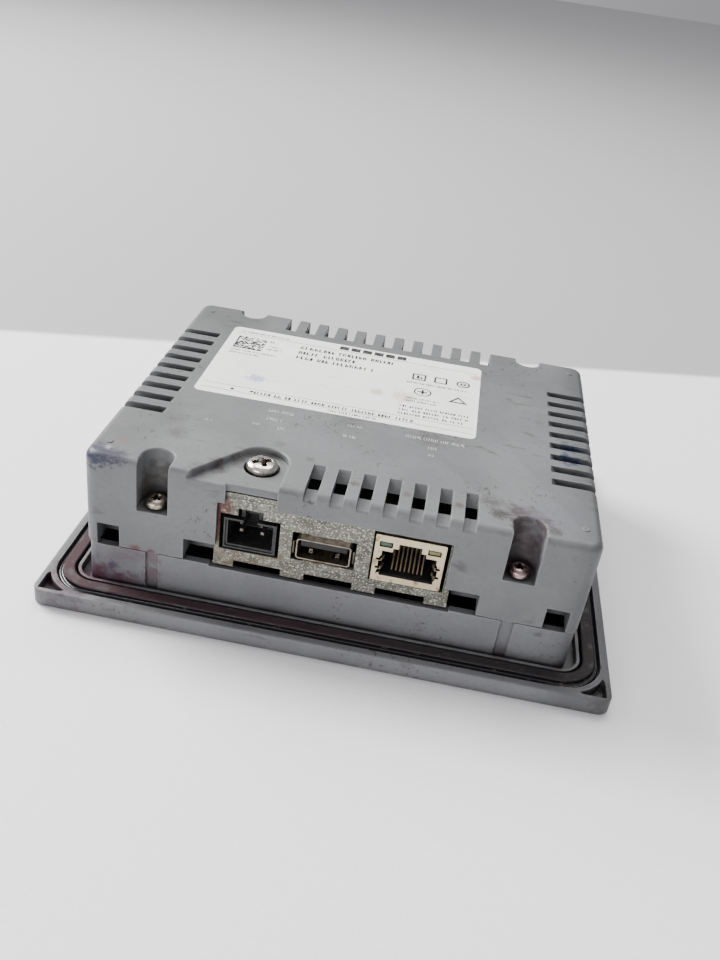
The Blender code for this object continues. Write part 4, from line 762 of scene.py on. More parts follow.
def vents():
    """Bars that carry the vents' sloped ends, then the slots of all four sides."""
    half, high, side_reach = VENT_W / 2, CASE_TOP + THROUGH, CASE_X + THROUGH
    xs = centred(FRONT_VENT_X, FRONT_VENT_PITCH, FRONT_VENT_COUNT)
    ys = centred(SIDE_VENT_Y, SIDE_VENT_PITCH, SIDE_VENT_COUNT)
    margin = half + RAMP_MARGIN
    bars = [box((xs[0] - margin, FRONT_VENT_BACK - RAMP_RUN, RAMP_LOW),
                (xs[-1] + margin, FRONT_VENT_BACK + 1, CEILING + 0.5))]
    front = vent_profile(FRONT_VENT_BACK, FRONT_VENT_LEDGE, 34, RAMP_RUN, RAMP_LOW)
    back = vent_profile(BACK_VENT_FRONT, CASE_BACK + THROUGH, BACK_VENT_LOW, VENT_SLOPE, CEILING - 0.2)
    side_profile = vent_profile(SIDE_VENT_INNER, side_reach, SIDE_VENT_LOW, RAMP_RUN, RAMP_LOW)
    holes = [prism(front, x - half, x + half, "X") for x in xs]
    end = arc(CASE_FRONT + GROOVE_END_R, CEILING - GROOVE_END_R, GROOVE_END_R, 90, 140, 4)
    groove = [(FRONT_VENT_LEDGE + 1, high), (FRONT_VENT_LEDGE + 1, CEILING)] + end
    groove += [(CASE_FRONT - THROUGH, end[-1][1] - THROUGH), (CASE_FRONT - THROUGH, high)]
    grooves = [prism(groove, x - half, x + half, "X") for x in xs]
    rest = [prism(back, x - half, x + half, "X") for x in centred(0, BACK_VENT_PITCH, BACK_VENT_COUNT)]
    for side in (-1, 1):
        ends = sorted((side * (SIDE_VENT_INNER - 1), side * (SIDE_VENT_INNER + RAMP_RUN)))
        bars.append(box((ends[0], ys[0] - margin, RAMP_LOW), (ends[1], ys[-1] + margin, CEILING + 0.5)))
        profile = [(side * u, v) for u, v in side_profile]
        rest += [prism(profile, y - half, y + half, "Y") for y in ys]
    return [join(*bars), cut(*holes), cut(*grooves), cut(*rest)]


def clip_pockets():
    wall, root = CLIP_POCKET_WALL, CASE_LOW + 0.2
    walls, holes = [], []
    for edge, inward in ((CASE_FRONT, 1), (CASE_BACK, -1)):
        for middle, width in CLIP_POCKETS:
            for side in (-1, 1):
                xs = (side * middle - width / 2 - wall, side * middle + width / 2 + wall)
                if middle < WELL_X:
                    xs = sorted((side * (middle - width / 2 + 0.1), side * (middle + width / 2 + wall)))
                ys = sorted((edge + inward, edge + inward * (CLIP_POCKET_DEPTH + wall)))
                walls.append(box((xs[0], ys[0], root), (xs[1], ys[1], CLIP_POCKET_TOP + wall)))
                ys = sorted((edge - inward * THROUGH, edge + inward * CLIP_POCKET_DEPTH))
                holes.append(box((side * middle - width / 2, ys[0], CASE_LOW - THROUGH),
                                 (side * middle + width / 2, ys[1], CLIP_POCKET_TOP)))
    return [join(*walls), cut(*holes)]


def wells():
    """Walls for the four screw wells, then their shafts, which are open to the outside."""
    steps = []
    outer = WELL_R + WELL_WALL
    for x in (-WELL_X, WELL_X):
        for y, open_y in ((FRONT_WELL_Y, CASE_FRONT + 1), (BACK_WELL_Y - 0.5, CASE_BACK - 1)):
            steps.append(join(prism(slot_outline(x, y, outer, open_y), WELL_BASE, CASE_TOP - 1)))
    for x in (-WELL_X, WELL_X):
        for y, open_y in ((FRONT_WELL_Y, CASE_FRONT - THROUGH), (BACK_WELL_Y, CASE_BACK + THROUGH)):
            shaft = flared(lambda grow: slot_outline(x, y, WELL_R + grow, open_y),
                           WELL_FLOOR, CASE_TOP, RIM_R)
            steps.append(cut(shaft))
    return steps


def connector_window():
    front, back = CASE_FRONT - THROUGH, CASE_FRONT + WALL + 0.5
    side, low, shelf = 29.2, CASE_LOW - THROUGH, CLIP_POCKET_TOP
    outline = [(-side, low), (side, low), (side, shelf), (OPENING_RIGHT, shelf),
               (OPENING_RIGHT, OPENING_TOP), (LIP_RIGHT, OPENING_TOP),
               (LIP_RIGHT, GROUND_PLATE), (LIP_LEFT, GROUND_PLATE),
               (LIP_LEFT, OPENING_STEP), (OPENING_LEFT, OPENING_STEP), (OPENING_LEFT, shelf - 0.01),
               (-side, shelf - 0.01)]
    relief, skin = FLANGE_X + 0.5, CASE_FRONT + SKIN_FRONT
    return [
        cut(prism(outline, front, back, "Y")),
        cut(box((-relief, skin, low), (relief, back + 0.2, FLANGE_TOP + 0.3))),
        cut(box((-relief, skin, FLANGE_TOP), (TAB_RIGHT + 0.3, back + 0.4, GROUND_PLATE + 0.02))),
        cut(box((LIP_LEFT, front, OPENING_TOP), (LIP_RIGHT, LIP_FRONT, GROUND_FLOOR))),
    ]


def on_lip_edge(a, b):
    """Whether an edge is the front edge of the ground recess's floor."""
    level = abs(a.z - GROUND_FLOOR) < CLOSE and abs(b.z - GROUND_FLOOR) < CLOSE
    return level and max(a.y, b.y) < LIP_FRONT + CLOSE and GROUND_START_X < a.x < LIP_RIGHT + CLOSE


def rear_cover():
    block = prism(rounded_rectangle(CASE_X, CASE_FRONT, CASE_BACK, CASE_R, 10), CASE_LOW, CASE_TOP)
    fillet(block, CASE_FILLET, 6, lambda a, b: min(a.z, b.z) > CASE_TOP - CLOSE)
    steps = [
        cut(prism(rounded_rectangle(CASE_X, CASE_FRONT, CASE_BACK, CASE_R, 8, WALL),
                  CASE_LOW - THROUGH, CEILING)),
        join(box((-14, CASE_FRONT + 1, GROUND_PLATE), (35, FRONT_VENT_LEDGE, CEILING + 0.5))),
        join(box((GROUND_START_X - 1.5, CASE_FRONT + 1, GROUND_PLATE), (-12.5, -30.5, CEILING + 0.6))),
    ]
    steps += wells() + clip_pockets()
    recess = flared(ground_recess_outline, GROUND_FLOOR, CASE_TOP, RIM_R)
    hole = cylinder(GROUND.x, GROUND.y, GROUND_HOLE_R, GROUND_PLATE - THROUGH, CASE_TOP + THROUGH)
    steps += [cut(recess), cut(hole)]
    steps += connector_window() + vents()
    shape = carve(block, *steps)
    fillet(shape, LIP_EDGE_R, 4, on_lip_edge)
    piece("cover_shell", shape, COVER_PLASTIC, ("rear_cover",), soften=0.16)
    for x in (-PIMPLE_X, PIMPLE_X):
        for y in PIMPLE_YS:
            knob = cylinder(x, y, PIMPLE_R, CASE_TOP - 0.4, CASE_TOP + 0.2, 24)
            side = "left" if x < 0 else "right"
            end = "front" if y < 0 else "back"
            piece(f"pimple_{end}_{side}", knob, COVER_PLASTIC, soften=0.08)


# ---------------------------------------------------------------- chassis and connectors

def chassis():
    """Base sheet, front flange with the ports' openings, and the tab under the ground screw."""
    front, base_x, top = FLANGE_FRONT, FLANGE_MAX.x, BASE_LOW + SHEET
    low, high, under = front - THROUGH, front + SHEET + 0.3, BASE_LOW - THROUGH
    left, right, key_left, key_right = POWER_OPENING_X
    sill, shoulder, key_top = POWER_OPENING_Z
    power = [(left, sill), (right, sill), (right, shoulder), (key_right, shoulder), (key_right, key_top),
             (key_left, key_top), (key_left, shoulder), (left, shoulder)]
    steps = [
        join(box((-FLANGE_X, front, BASE_LOW), (FLANGE_X, FLANGE_MAX.y, top))),
        join(box((-FLANGE_X + 0.2, front + 0.01, BASE_LOW + 0.1),
                 (FLANGE_X - 0.2, front + SHEET, FLANGE_TOP))),
        join(box((TAB_LEFT, front + 0.02, FLANGE_TOP - 2), (TAB_RIGHT, front + SHEET - 0.02, TAB_TOP))),
        join(box((TAB_LEFT, front + 0.5, TAB_TOP - SHEET), (TAB_RIGHT, TAB_BACK, TAB_TOP - 0.01))),
        cut(
            prism(power, low, high, "Y"),
            box((USB_MIN.x - 1.05, low, USB_MIN.z - 0.6), (USB_MAX.x + 1.05, high, USB_MAX.z + 1.5)),
            box((JACK_MIN.x - 0.4, low, JACK_MIN.z - 0.4), (JACK_MAX.x + 0.8, high, JACK_MAX.z + 0.6))),
        cut(*[box((a, low, under), (b, high + 0.5, BEND_SLOT_TOP)) for a, b in BEND_SLOTS]),
        cut(cylinder(GROUND.x, GROUND.y, TAPPED_R, TAB_TOP - 5, TAB_TOP + THROUGH)),
        cut(*[box((x0, y0, under), (x1, y1, top + THROUGH)) for x0, y0, x1, y1 in RIBBON_SLOTS]),
    ]
    shape = carve(box((-base_x, BASE_FRONT, BASE_LOW), (base_x, BASE_BACK, top)), *steps)
    piece("chassis_sheet", shape, ZINC, ("chassis",), soften=0.12)


def power_port():
    """Two-way header: an open box with a key on top that sits back a little, and a pin in each half."""
    (left, front, low), (right, back, key_top) = HEADER_MIN, HEADER_MAX
    wall, depth, top, outside = HEADER_WALL, 9.0, HEADER_TOP, front - THROUGH
    key_left, key_right = HEADER_KEY
    key = box((key_left, front + 1.6, top - 1), (key_right, HEADER_KEY_BACK, key_top))
    socket = box((left + wall, outside, low + wall), (right - wall, front + depth, top - wall))
    mouth = rounded_rectangle((right - left) / 2 - wall / 2, low + wall / 2, top - wall / 2, 0.5, 4,
                              middle=(left + right) / 2)
    mouth = prism(mouth, outside, front + 0.5, "Y")
    key_way = box((key_left + wall, outside, top - wall - 0.5),
                  (key_right - wall, front + 5, key_top - wall))
    ribs = [box((x - 0.35, front + 1.2, top - wall - 1.1), (x + 0.35, front + depth - 1, top - wall + 0.3))
            for x in (key_left + 0.2, key_right - 0.2)]
    block = box((left, front, low), (right, back, top))
    shape = carve(block, join(key), cut(socket), cut(mouth), cut(key_way), join(*ribs))
    piece("power_socket", shape, BLACK, ("power_header",), soften=0.15)
    for node in ("power_pin_plus", "power_pin_minus"):
        pin_low, pin_high = edges_of(node)
        pin = box(pin_low, pin_high)
        fillet(pin, 0.3, 3, lambda a, b: max(a.y, b.y) < pin_low.y + CLOSE)
        piece(f"{node}_blade", pin, PIN_METAL, (node,), soften=0.08)


def usb_port():
    """Steel shell with flared edges and two springs, and a tongue that carries four contacts."""
    wall, spring_reach = 0.35, 3.2
    (left, front, low), (right, back, top) = USB_MIN, USB_MAX
    shell = box(USB_MIN, USB_MAX)
    fillet(shell, 0.8, 5, lambda a, b: abs(a.y - b.y) > 1)
    middle = (left + right) / 2
    inside = box((left + wall, front - THROUGH, low + wall), (right - wall, back - 1, top - wall))
    fillet(inside, 0.5, 4, lambda a, b: abs(a.y - b.y) > 1)
    springs = (middle - spring_reach, middle + spring_reach)
    windows = [box((x - 1.1, front + 2.2, low - 1), (x + 1.1, front + 6.5, low + 1)) for x in springs]
    shape = carve(shell, cut(inside), cut(*windows))
    piece("usb_housing", shape, USB_METAL, ("usb_shell",), soften=0.06)
    for side, x, out in (("left", left, -1), ("right", right, 1)):
        path = [(x - out * 0.15, front + 1.9), (x + out * 0.05, front + 0.9), (x + out * 0.75, front + 0.2)]
        flare = prism(strip_outline(path, 0.26), low + 1.1, top - 1.0)
        fillet(flare, 0.25, 2, lambda a, b: min(a.y, b.y) < front + 0.5 and abs(a.z - b.z) < CLOSE)
        piece(f"usb_flare_{side}", flare, USB_METAL, soften=0.05)
    path = [(front + 1.9, low + 0.15), (front + 0.9, low - 0.05), (front + 0.2, low - 0.5)]
    flare = prism(strip_outline(path, 0.26), left + 1.8, right - 1.8, "X")
    piece("usb_flare_low", flare, USB_METAL, soften=0.05)
    path = [(front + y, low + z) for y, z in ((6.3, 0.15), (4.2, 1.05), (3.0, 1.15), (2.3, 0.55))]
    for number, x in enumerate(springs, 1):
        spring = prism(strip_outline(path, 0.22), x - 0.5, x + 0.5, "X")
        piece(f"usb_spring_{number}", spring, NICKEL, soften=0.05)
    tongue = box((TONGUE_MIN.x, TONGUE_MIN.y, 24.35), TONGUE_MAX, 0.2, 3)
    base = box((TONGUE_MIN.x, TONGUE_MAX.y - 2, TONGUE_MIN.z), (TONGUE_MAX.x, TONGUE_MAX.y, 25))
    piece("usb_insert", carve(tongue, join(base)), PORT_BLACK, ("usb_tongue",))
    for number in range(1, 5):
        node = f"usb_contact_{number}"
        contact_low, contact_high = edges_of(node)
        path = [(contact_low.y, contact_high.z - 0.05), (contact_low.y + 1.2, contact_high.z - 0.22),
                (contact_low.y + 3.0, contact_high.z - 0.05), (contact_high.y, contact_high.z - 0.05)]
        strip = prism(strip_outline(path, 0.14), contact_low.x + 0.05, contact_high.x - 0.05, "X")
        piece(f"usb_leaf_{number}", strip, GOLD, (node,), soften=0.03)


def strip_outline(path, thickness):
    """A closed outline round a path, half the thickness to each side."""
    sides = ([], [])
    for i, here in enumerate(path):
        along = Vector(path[min(i + 1, len(path) - 1)]) - Vector(path[max(i - 1, 0)])
        across = Vector((-along.y, along.x)).normalized() * thickness / 2
        sides[0].append(tuple(Vector(here) + across))
        sides[1].append(tuple(Vector(here) - across))
    return sides[0] + sides[1][::-1]


def socket_outline(middle, grow=0.0):
    right = [(SOCKET_X, SOCKET_LOW - grow), (SOCKET_X, SOCKET_TOP)]
    for half, top in LATCH_STEPS:
        right += [(half, right[-1][1]), (half, top)]
    right = [(x + grow, z) for x, z in right]
    return [(middle + x, z) for x, z in right] + [(middle - x, z) for x, z in reversed(right)]


def ethernet_port():
    """Stepped socket in a thin metal shell, with a plastic insert, side fingers and two lights."""
    (left, front, low), (right, back, top) = JACK_MIN, JACK_MAX
    middle, sheet, light_gap, finger_zs = (left + right) / 2, 0.4, 0.15, (23.2, 25.6)
    lights = (("link_light_green", -1, GREEN_LENS, "green_lens"),
              ("link_light_yellow", 1, YELLOW_LENS, "yellow_lens"))
    windows = [sorted((middle + side * (LIGHT_IN - light_gap), middle + side * (LIGHT_OUT + light_gap)))
               for side in (-1, 1)]
    light_low, light_high = LIGHT_LOW - light_gap, LIGHT_TOP + light_gap
    shell = box(JACK_MIN, JACK_MAX)
    fillet(shell, 0.35, 3, lambda a, b: abs(a.y - b.y) > 1)
    side_slots = []
    for side in (-1, 1):
        for z in finger_zs:
            x = middle + side * (SOCKET_X + 0.75)
            side_slots.append(box((x - 0.55, front - 1, z - 0.28), (x + 0.55, front + 2, z + 0.28)))
    shape = carve(
        shell,
        cut(box((left + sheet, front + sheet, low + sheet), (right - sheet, back + THROUGH, top - sheet))),
        cut(prism(socket_outline(middle, 0.15), front - THROUGH, front + 2, "Y")),
        cut(*[box((a, front - THROUGH, light_low), (b, front + 2, light_high)) for a, b in windows]),
        cut(*side_slots),
    )
    piece("jack_shell", shape, JACK_METAL, ("ethernet_shell",), soften=0.1)
    gap = sheet + 0.2
    insert = carve(
        box((left + gap, front + gap, low + gap), (right - gap, back - 0.2, top - gap)),
        cut(prism(socket_outline(middle), front, SOCKET_END, "Y")),
        cut(*[box((a, front, light_low), (b, front + 4, light_high)) for a, b in windows]),
    )
    piece("jack_insert", insert, PORT_BLACK, ("ethernet_insert",), soften=0.08)
    for number, (side, z) in enumerate([(side, z) for side in (-1, 1) for z in finger_zs], 1):
        x = middle + side * (SOCKET_X + 0.1)
        path = [(x, front + 0.25), (x - side * 0.5, front + 1.6), (x - side * 0.1, front + 3.4)]
        finger = prism(strip_outline(path, 0.2), z - 0.5, z + 0.5, "Z")
        piece(f"jack_finger_{number}", finger, JACK_METAL)
    for node, _, material, slot_name in lights:
        light_min, light_max = edges_of(node)
        piece(f"{node}_lens", box(light_min, light_max, 0.22, 3), material, (node,))
    ethernet_contacts(middle)


def ethernet_contacts(middle):
    """Eight bent round wires that lean back and up from the socket's floor."""
    low, high = edges_of("ethernet_contacts")
    for number, x in enumerate(centred(middle, CONTACT_PITCH, CONTACT_COUNT), 1):
        curve = bpy.data.curves.new(f"jack_wire_{number}", "CURVE")
        curve.dimensions = "3D"
        curve.bevel_depth = 0.19 * MM
        curve.bevel_resolution = 2
        curve.use_fill_caps = True
        spline = curve.splines.new("POLY")
        bends = ((0.4, 0.35), (0.7, 0.5), (3.5, 2.1), (6.6, 3.8), (7.6, 4.25))
        route = [(low.y + y, low.z + z) for y, z in bends]
        route.append((high.y - 0.2, high.z - 0.3))
        spline.points.add(len(route) - 1)
        for point, (y, z) in zip(spline.points, route):
            point.co = (x * MM, y * MM, z * MM, 1)
        wire = bpy.data.objects.new(curve.name, curve)
        bpy.context.scene.collection.objects.link(wire)
        curve.materials.append(GOLD)
        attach(wire, HOUSING)
        if number == 1:
            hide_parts("ethernet_contacts")


# ---------------------------------------------------------------- screws

def star_recess(x, y, reach, half_width, low, high, turn, count):
    """Crossed tapered slots: two make a cross and three a star."""
    arms = []
    for angle in [turn + 180 * i / count for i in range(count)]:
        arm = box((-reach, -half_width, low), (reach, half_width, high))
        for vert in arm.verts:
            if vert.co.z < (low + high) / 2:
                vert.co.x *= 0.6
                vert.co.y *= 0.85
        matrix = Matrix.Translation((x, y, 0)) @ Matrix.Rotation(math.radians(angle), 4, "Z")
        bmesh.ops.transform(arm, matrix=matrix, verts=arm.verts[:])
        arms.append(arm)
    return arms


def turned_head(x, y, profile, steps):
    """A turned bmesh about a vertical axis from a (radius, height) profile that ends on the axis."""
    bm = bmesh.new()
    ring = [bm.verts.new((x + r, y, z)) for r, z in profile]
    edges = [bm.edges.new(pair) for pair in zip(ring, ring[1:])]
    bmesh.ops.spin(bm, geom=ring + edges, cent=(x, y, 0), axis=(0, 0, 1), angle=math.tau, steps=steps,
                   use_merge=True)
    bmesh.ops.remove_doubles(bm, verts=bm.verts[:], dist=CLOSE)
    bmesh.ops.recalc_face_normals(bm, faces=bm.faces[:])
    return bm


def pan_head(name, node, material, turn, body, head_low, dome, recess, count):
    """A screw with a domed head. Its recess is (reach and half width over the radius, depth)."""
    low, high = edges_of(node)
    x, y, radius = (low.x + high.x) / 2, (low.y + high.y) / 2, (high.x - low.x) / 2
    edge, shaft, chamfer, fullness = head_low + dome * (high.z - head_low), 0.5 * radius, 0.15, 0.8
    curve = arc(0, 0, 1, 90, 0, 14)
    profile = [(radius * u ** fullness, edge + (high.z - edge) * v ** fullness) for u, v in curve[:-1]]
    profile[0] = (0, high.z)
    profile += [(radius, edge), (radius, head_low + chamfer), (radius - chamfer, head_low)]
    profile += [(shaft, head_low), (shaft, low.z), (0, low.z)]
    head = turned_head(x, y, profile, 40)
    reach, half_width, depth = recess
    arms = star_recess(x, y, reach * radius, half_width * radius, high.z - depth, high.z + 0.3, turn, count)
    pit = cylinder(x, y, 1.7 * half_width * radius, high.z - depth, high.z + 0.3, 24)
    shape = carve(head, *[cut(arm) for arm in arms], cut(pit))
    return piece(name, shape, material, (node,), body, soften=0.06, sharp=30)


def screws():
    pan_head("ground_screw_head", "ground_screw", NICKEL, 28, "ground_screw", GROUND_HEAD_LOW, 0.50,
             (0.70, 0.19, 2.0), 2)
    washer_low, washer_high = edges_of("ground_washer")
    radius, low, high = (washer_high.x - washer_low.x) / 2, washer_low.z, washer_high.z
    washer = carve(cylinder(GROUND.x, GROUND.y, radius, low, high, 48),
                   cut(cylinder(GROUND.x, GROUND.y, TAPPED_R, low - THROUGH, high + THROUGH)))
    piece("ground_washer_ring", washer, NICKEL, ("ground_washer",), soften=0.1)
    finishes = (BRASSY, BRASSY, PINKISH, PINKISH)
    for number, material in enumerate(finishes, 1):
        pan_head(f"cover_screw_head_{number}", f"cover_screw_{number}", material, 19 * number, HOUSING,
                 WELL_FLOOR + 0.3, 0.4, (0.56, 0.15, 1.5), 3)


# ---------------------------------------------------------------- label and print

PRINT_H = 0.02
INK_LOW = CASE_TOP + 0.075


def label():
    middle = (LABEL_MIN.x + LABEL_MAX.x) / 2
    half = (LABEL_MAX.x - LABEL_MIN.x) / 2
    outline = rounded_rectangle(half, LABEL_MIN.y, LABEL_MAX.y, 1.8, 10, middle=middle)
    sheet = prism(outline, CASE_TOP + 0.005, INK_LOW - 0.002)
    piece("label_sheet", sheet, LABEL, ("rating_label",))


def bars(name, rectangles, material=LABEL_INK, low=INK_LOW):
    """Flat printed marks, one thin box each, as one piece."""
    shape = together(*[box((x0, y0, low), (x1, y1, low + PRINT_H)) for x0, y0, x1, y1 in rectangles])
    piece(name, shape, material)


def word_row(rng, x, y, length, height, stroke):
    """A row of small strokes that reads as a line of print without saying anything."""
    marks = []
    end = x + length
    while x < end:
        letters = rng.randint(2, 8)
        for _ in range(letters):
            width = stroke * rng.uniform(1.6, 2.6)
            if x + width > end:
                return marks
            kind = rng.randrange(4)
            marks.append((x, y, x + stroke, y + height))
            if kind:
                z = y + height * rng.choice((0.0, 0.4, 0.78))
                marks.append((x, z, x + width, z + stroke * 0.9))
            if kind > 1:
                marks.append((x + width - stroke * 0.8, y, x + width, y + height * rng.choice((0.5, 1.0))))
            x += width + stroke * 0.9
        x += stroke * 2.4
    return marks


def code_grid(rng, x, y, size, count):
    """A square of random cells with two solid sides."""
    cell = size / count
    marks = []
    for row in range(count):
        run = None
        for column in range(count + 1):
            solid = column < count and (row == 0 or column == 0 or rng.random() < 0.5)
            if solid and run is None:
                run = column
            if not solid and run is not None:
                marks.append((x + run * cell, y + row * cell, x + column * cell, y + (row + 1) * cell))
                run = None
    return marks


def ring_mark(x, y, outer, inner, low=INK_LOW):
    return prism([arc(x, y, outer, 0, 350, 35), arc(x, y, inner, 0, 350, 35)], low, low + PRINT_H)


# Rows of print: x, y, length, letter height and stroke.
LABEL_ROWS = (
    (-43.5, 32.0, 15, 0.9, 0.16), (-33.8, 27.4, 1.8, 1.4, 0.25), (-33.6, 24.4, 4.0, 0.8, 0.14),
    (-33.6, 22.4, 4.6, 0.8, 0.14), (-43.4, 18.6, 14, 0.9, 0.16), (-43.4, 16.8, 9, 0.8, 0.14),
    (-24.5, 27.2, 29, 1.9, 0.42), (-24.5, 23.6, 17, 1.9, 0.42), (-24.5, 20.2, 24, 1.9, 0.42),
    (8.5, 17.6, 17.0, 0.9, 0.16), (8.8, 7.6, 10.0, 0.9, 0.16), (8.8, 5.8, 9.0, 0.9, 0.16),
    (8.0, 2.0, 19.0, 1.1, 0.26), (8.0, -0.2, 19.0, 1.1, 0.26), (8.0, -2.4, 18.0, 1.1, 0.26),
    (-30.5, -6.1, 44.0, 1.4, 0.32), (-10.0, -8.4, 13.0, 0.9, 0.2),
)
PORT_ROWS = (
    (-24.5, -14.2, 7.2, 1.5, 0.2), (-24.0, -18.6, 4.2, 1.5, 0.2), (-26.8, -22.2, 2.4, 1.2, 0.18),
    (-20.4, -22.6, 1.8, 1.4, 0.2), (-3.6, -14.6, 4.4, 1.3, 0.2), (-4.0, -20.2, 4.0, 1.4, 0.2),
    (11.5, -14.4, 15.5, 1.4, 0.2), (17.6, -18.6, 2.2, 1.3, 0.2), (17.8, -22.0, 2.0, 0.9, 0.2),
    (-38.5, -24.4, 2.0, 0.9, 0.2),
)


def label_print():
    rng = random.Random(7)
    grid = code_grid(rng, -43.4, 20.6, 8.6, 18)
    bars("print_code_grid", grid)
    rows = []
    for row in LABEL_ROWS:
        rows += word_row(rng, *row)
    bars("print_text_rows", rows)
    rules = [(LABEL_MIN.x + 1.2, y, LABEL_MAX.x - 1.0, y + 0.14) for y in (30.9, -3.7, -6.7)]
    bars("print_rules", rules)
    blocks = [(x - 1.35, 31.8, x + 1.35, 34.2) for x in centred(-3.4, 3.5, 6)]
    bars("print_heading", blocks)
    symbols()


def square_mark(left, low, right, high, stroke=0.5):
    return [(left, low, right, low + stroke), (left, high - stroke, right, high),
            (left, low, left + stroke, high), (right - stroke, low, right, high)]


def symbols():
    """Plain marks that stand for nothing: two squares, a double ring, a cross in a ring and a triangle."""
    window = square_mark(9.6, 20.2, 13.6, 24.2) + [(10.9, 21.2, 11.6, 23.2), (11.9, 21.2, 12.5, 22.4)]
    bars("print_window_mark", window)
    bars("print_square_mark", square_mark(16.0, 20.4, 19.8, 24.2))
    marks = {"print_outer_ring": (24.4, 22.3, 2.0, 1.5), "print_inner_ring": (24.4, 22.3, 0.9, 0.4),
             "print_oval": (13.4, 12.8, 2.5, 2.1)}
    for name, (x, y, outer, inner) in marks.items():
        piece(name, ring_mark(x, y, outer, inner), LABEL_INK)
    bars("print_oval_cross", [(13.1, 11.4, 13.7, 14.2), (12.0, 12.5, 14.8, 13.1)])
    triangle = [(20.8, 9.8), (26.2, 9.8), (23.5, 13.6)]
    inner = [(21.9, 10.4), (25.1, 10.4), (23.5, 12.6)]
    shape = prism([triangle, inner], INK_LOW, INK_LOW + PRINT_H)
    piece("print_triangle", shape, LABEL_INK)
    dots = [cylinder(x, y, 0.5, INK_LOW, INK_LOW + PRINT_H, 16) for x, y in ((-36.5, -5.4), (-31.2, -5.2))]
    piece("print_dots", together(*dots), LABEL_INK)


def port_marks():
    """Faint pale print on the cover in front of the label: short rows of strokes."""
    rng = random.Random(11)
    low = CASE_TOP + 0.004
    rows = []
    for row in PORT_ROWS:
        rows += word_row(rng, *row)
    bars("print_port_marks", rows, MARK_INK, low)


# ---------------------------------------------------------------- front face

def front_face():
    """Film, glass, display and keys on the side that the panel lies on."""
    window_x, window_low, window_high = 48.5, -17.5, 38.5
    film = prism(rounded_rectangle(FILM_MAX.x, FILM_MIN.y, FILM_MAX.y, FILM_R, 10), FILM_MIN.z, FILM_MAX.z)
    window = rounded_rectangle(window_x, window_low, window_high, 1.0, 6)
    steps = [cut(prism(window, 0, FILM_MAX.z + THROUGH))]
    steps += [cut(key_window(node, 0, FILM_MAX.z + THROUGH)) for node in KEYS]
    piece("film_sheet", carve(film, *steps), FILM, ("overlay_film",), soften=0.08)
    piece("touch_glass_pane", box(GLASS_MIN, GLASS_MAX, 0.3, 3), GLASS, ("touch_glass",))
    for number, node in enumerate(KEYS, 1):
        low, high = edges_of(node)
        flange, flange_low = KEY_FLANGE, high.z - KEY_FLANGE
        rim, dish_depth = flange + 2, 0.12
        face = box((low.x + flange, low.y + flange, low.z),
                   (high.x - flange, high.y - flange, flange_low + 0.2))
        fillet(face, 1.2, 6, lambda a, b: abs(a.z - b.z) > 1)
        fillet(face, 0.35, 4, lambda a, b: max(a.z, b.z) < low.z + CLOSE)
        dish = box((low.x + rim, low.y + rim, low.z - 1), (high.x - rim, high.y - rim, low.z + dish_depth))
        base = box((low.x, low.y, flange_low), high)
        shape = carve(face, join(base), cut(dish))
        piece(f"key_face_{number}", shape, KEY_PLASTIC, (node,), f"key_{number}", soften=0.1)
        digit = key_digit(number, (low.x + high.x) / 2, (low.y + high.y) / 2, low.z + dish_depth)
        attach(digit, f"key_{number}")


def key_digit(number, x, y, z):
    """A printed number that reads from the front, with the key row below the screen."""
    text = bpy.data.curves.new(f"key_number_{number}", "FONT")
    text.body = str(number)
    text.size = 4.2 * MM
    text.align_x = "CENTER"
    text.align_y = "CENTER"
    text.extrude = 0.01 * MM
    text.materials.append(KEY_INK)
    digit = bpy.data.objects.new(text.name, text)
    digit.location = (x * MM, y * MM, (z - 0.012) * MM)
    digit.rotation_euler = (math.pi, 0, 0)
    bpy.context.scene.collection.objects.link(digit)
    return digit


# ---------------------------------------------------------------- nodes that keep their CAD shape

CAD_LOOKS = {
    "nickel_screw": NICKEL, "black_plastic": BLACK, "board_green": LAMINATE, "ribbon_white": RIBBON,
    "display_black": GLASS, "gold_contact": GOLD, "jack_metal": JACK_METAL, "zinc_sheet": ZINC,
    "grey_plastic": COVER_PLASTIC, "dark_film": FILM, "key_film": KEY_PLASTIC, "black_rubber": RUBBER,
    "clear_glass": GLASS, "white_label": LABEL, "green_lens": GREEN_LENS, "yellow_lens": YELLOW_LENS,
}


def paint_cad_nodes():
    for part in frame["record"]["subparts"]:
        node = frame["nodes"][part["node"]]
        node.data.materials.clear()
        node.data.materials.append(CAD_LOOKS[part["material_slot"]])


# ---------------------------------------------------------------- floor, lights and camera

CAMERA_AT = Vector((16.15, -222.81, 154.14)) * MM
CAMERA_AIM = Vector((0.97, -6.38, 20.0)) * MM
CAMERA_ROLL = 8.41  # degrees
CAMERA_LENS = 34.82
ROOM_DARK_SIDE = (0.85, 0.45, -0.1)


def floor():
    bm = bmesh.new()
    bmesh.ops.create_grid(bm, x_segments=8, y_segments=8, size=2.5)
    sheet = loose(bm, "floor")
    sheet.data.materials.append(floor_sheet())


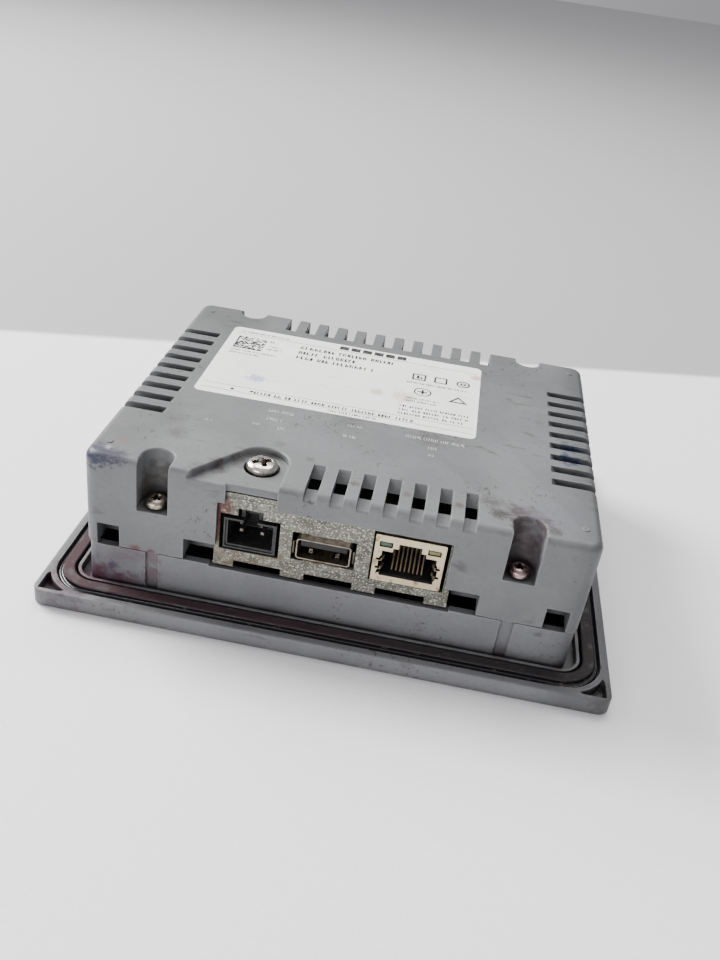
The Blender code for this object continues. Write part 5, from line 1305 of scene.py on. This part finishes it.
def area_light(name, at, aim, size, power, tint):
    light = bpy.data.lights.new(name, "AREA")
    light.shape = "RECTANGLE"
    light.size, light.size_y = size
    light.energy = power
    light.color = tint
    lamp = bpy.data.objects.new(name, light)
    lamp.location = at
    lamp.rotation_euler = (Vector(aim) - Vector(at)).to_track_quat("-Z", "Y").to_euler()
    bpy.context.scene.collection.objects.link(lamp)


def lights():
    world = bpy.data.worlds.new("studio")
    world.use_nodes = True
    tree = world.node_tree
    background = tree.nodes["Background"]
    background.inputs["Strength"].default_value = 0.73
    towards = tree.nodes.new("ShaderNodeVectorMath")
    towards.operation = "DOT_PRODUCT"
    towards.inputs[1].default_value = ROOM_DARK_SIDE
    tree.links.new(tree.nodes.new("ShaderNodeTexCoord").outputs["Generated"], towards.inputs[0])
    tones = tree.nodes.new("ShaderNodeValToRGB")
    tree.links.new(towards.outputs["Value"], tones.inputs["Fac"])
    tree.links.new(tones.outputs["Color"], background.inputs["Color"])
    bright, dim = tones.color_ramp.elements
    bright.position, bright.color = 0.0, (0.96, 0.95, 0.98, 1)
    dim.position, dim.color = 0.75, (0.36, 0.36, 0.385, 1)
    bpy.context.scene.world = world
    area_light("window", (-0.88, 0.42, 0.72), (0, 0, 0.02), (0.60, 0.60), 34, (1.0, 0.985, 0.965))
    area_light("ceiling", (0.0, 0.45, 0.95), (0, 0, 0.02), (0.8, 0.4), 9, (1.0, 0.985, 0.97))
    area_light("front_fill", (-0.45, -0.95, 0.22), (0, 0, 0.02), (0.6, 0.3), 5, (0.98, 0.97, 1.0))


def camera():
    data = bpy.data.cameras.new("camera")
    data.lens = CAMERA_LENS
    data.sensor_width = 36
    data.clip_start = 0.01
    eye = bpy.data.objects.new("camera", data)
    aim = (CAMERA_AIM - CAMERA_AT).to_track_quat("-Z", "Y")
    eye.rotation_mode = "QUATERNION"
    roll = Matrix.Rotation(math.radians(CAMERA_ROLL), 4, "Z").to_quaternion()
    eye.rotation_quaternion = aim @ roll
    eye.location = CAMERA_AT
    bpy.context.scene.collection.objects.link(eye)
    bpy.context.scene.camera = eye


paint_cad_nodes()
front_frame()
mounting_seal()
rear_cover()
chassis()
power_port()
usb_port()
ethernet_port()
screws()
label()
label_print()
port_marks()
front_face()
floor()
lights()
camera()
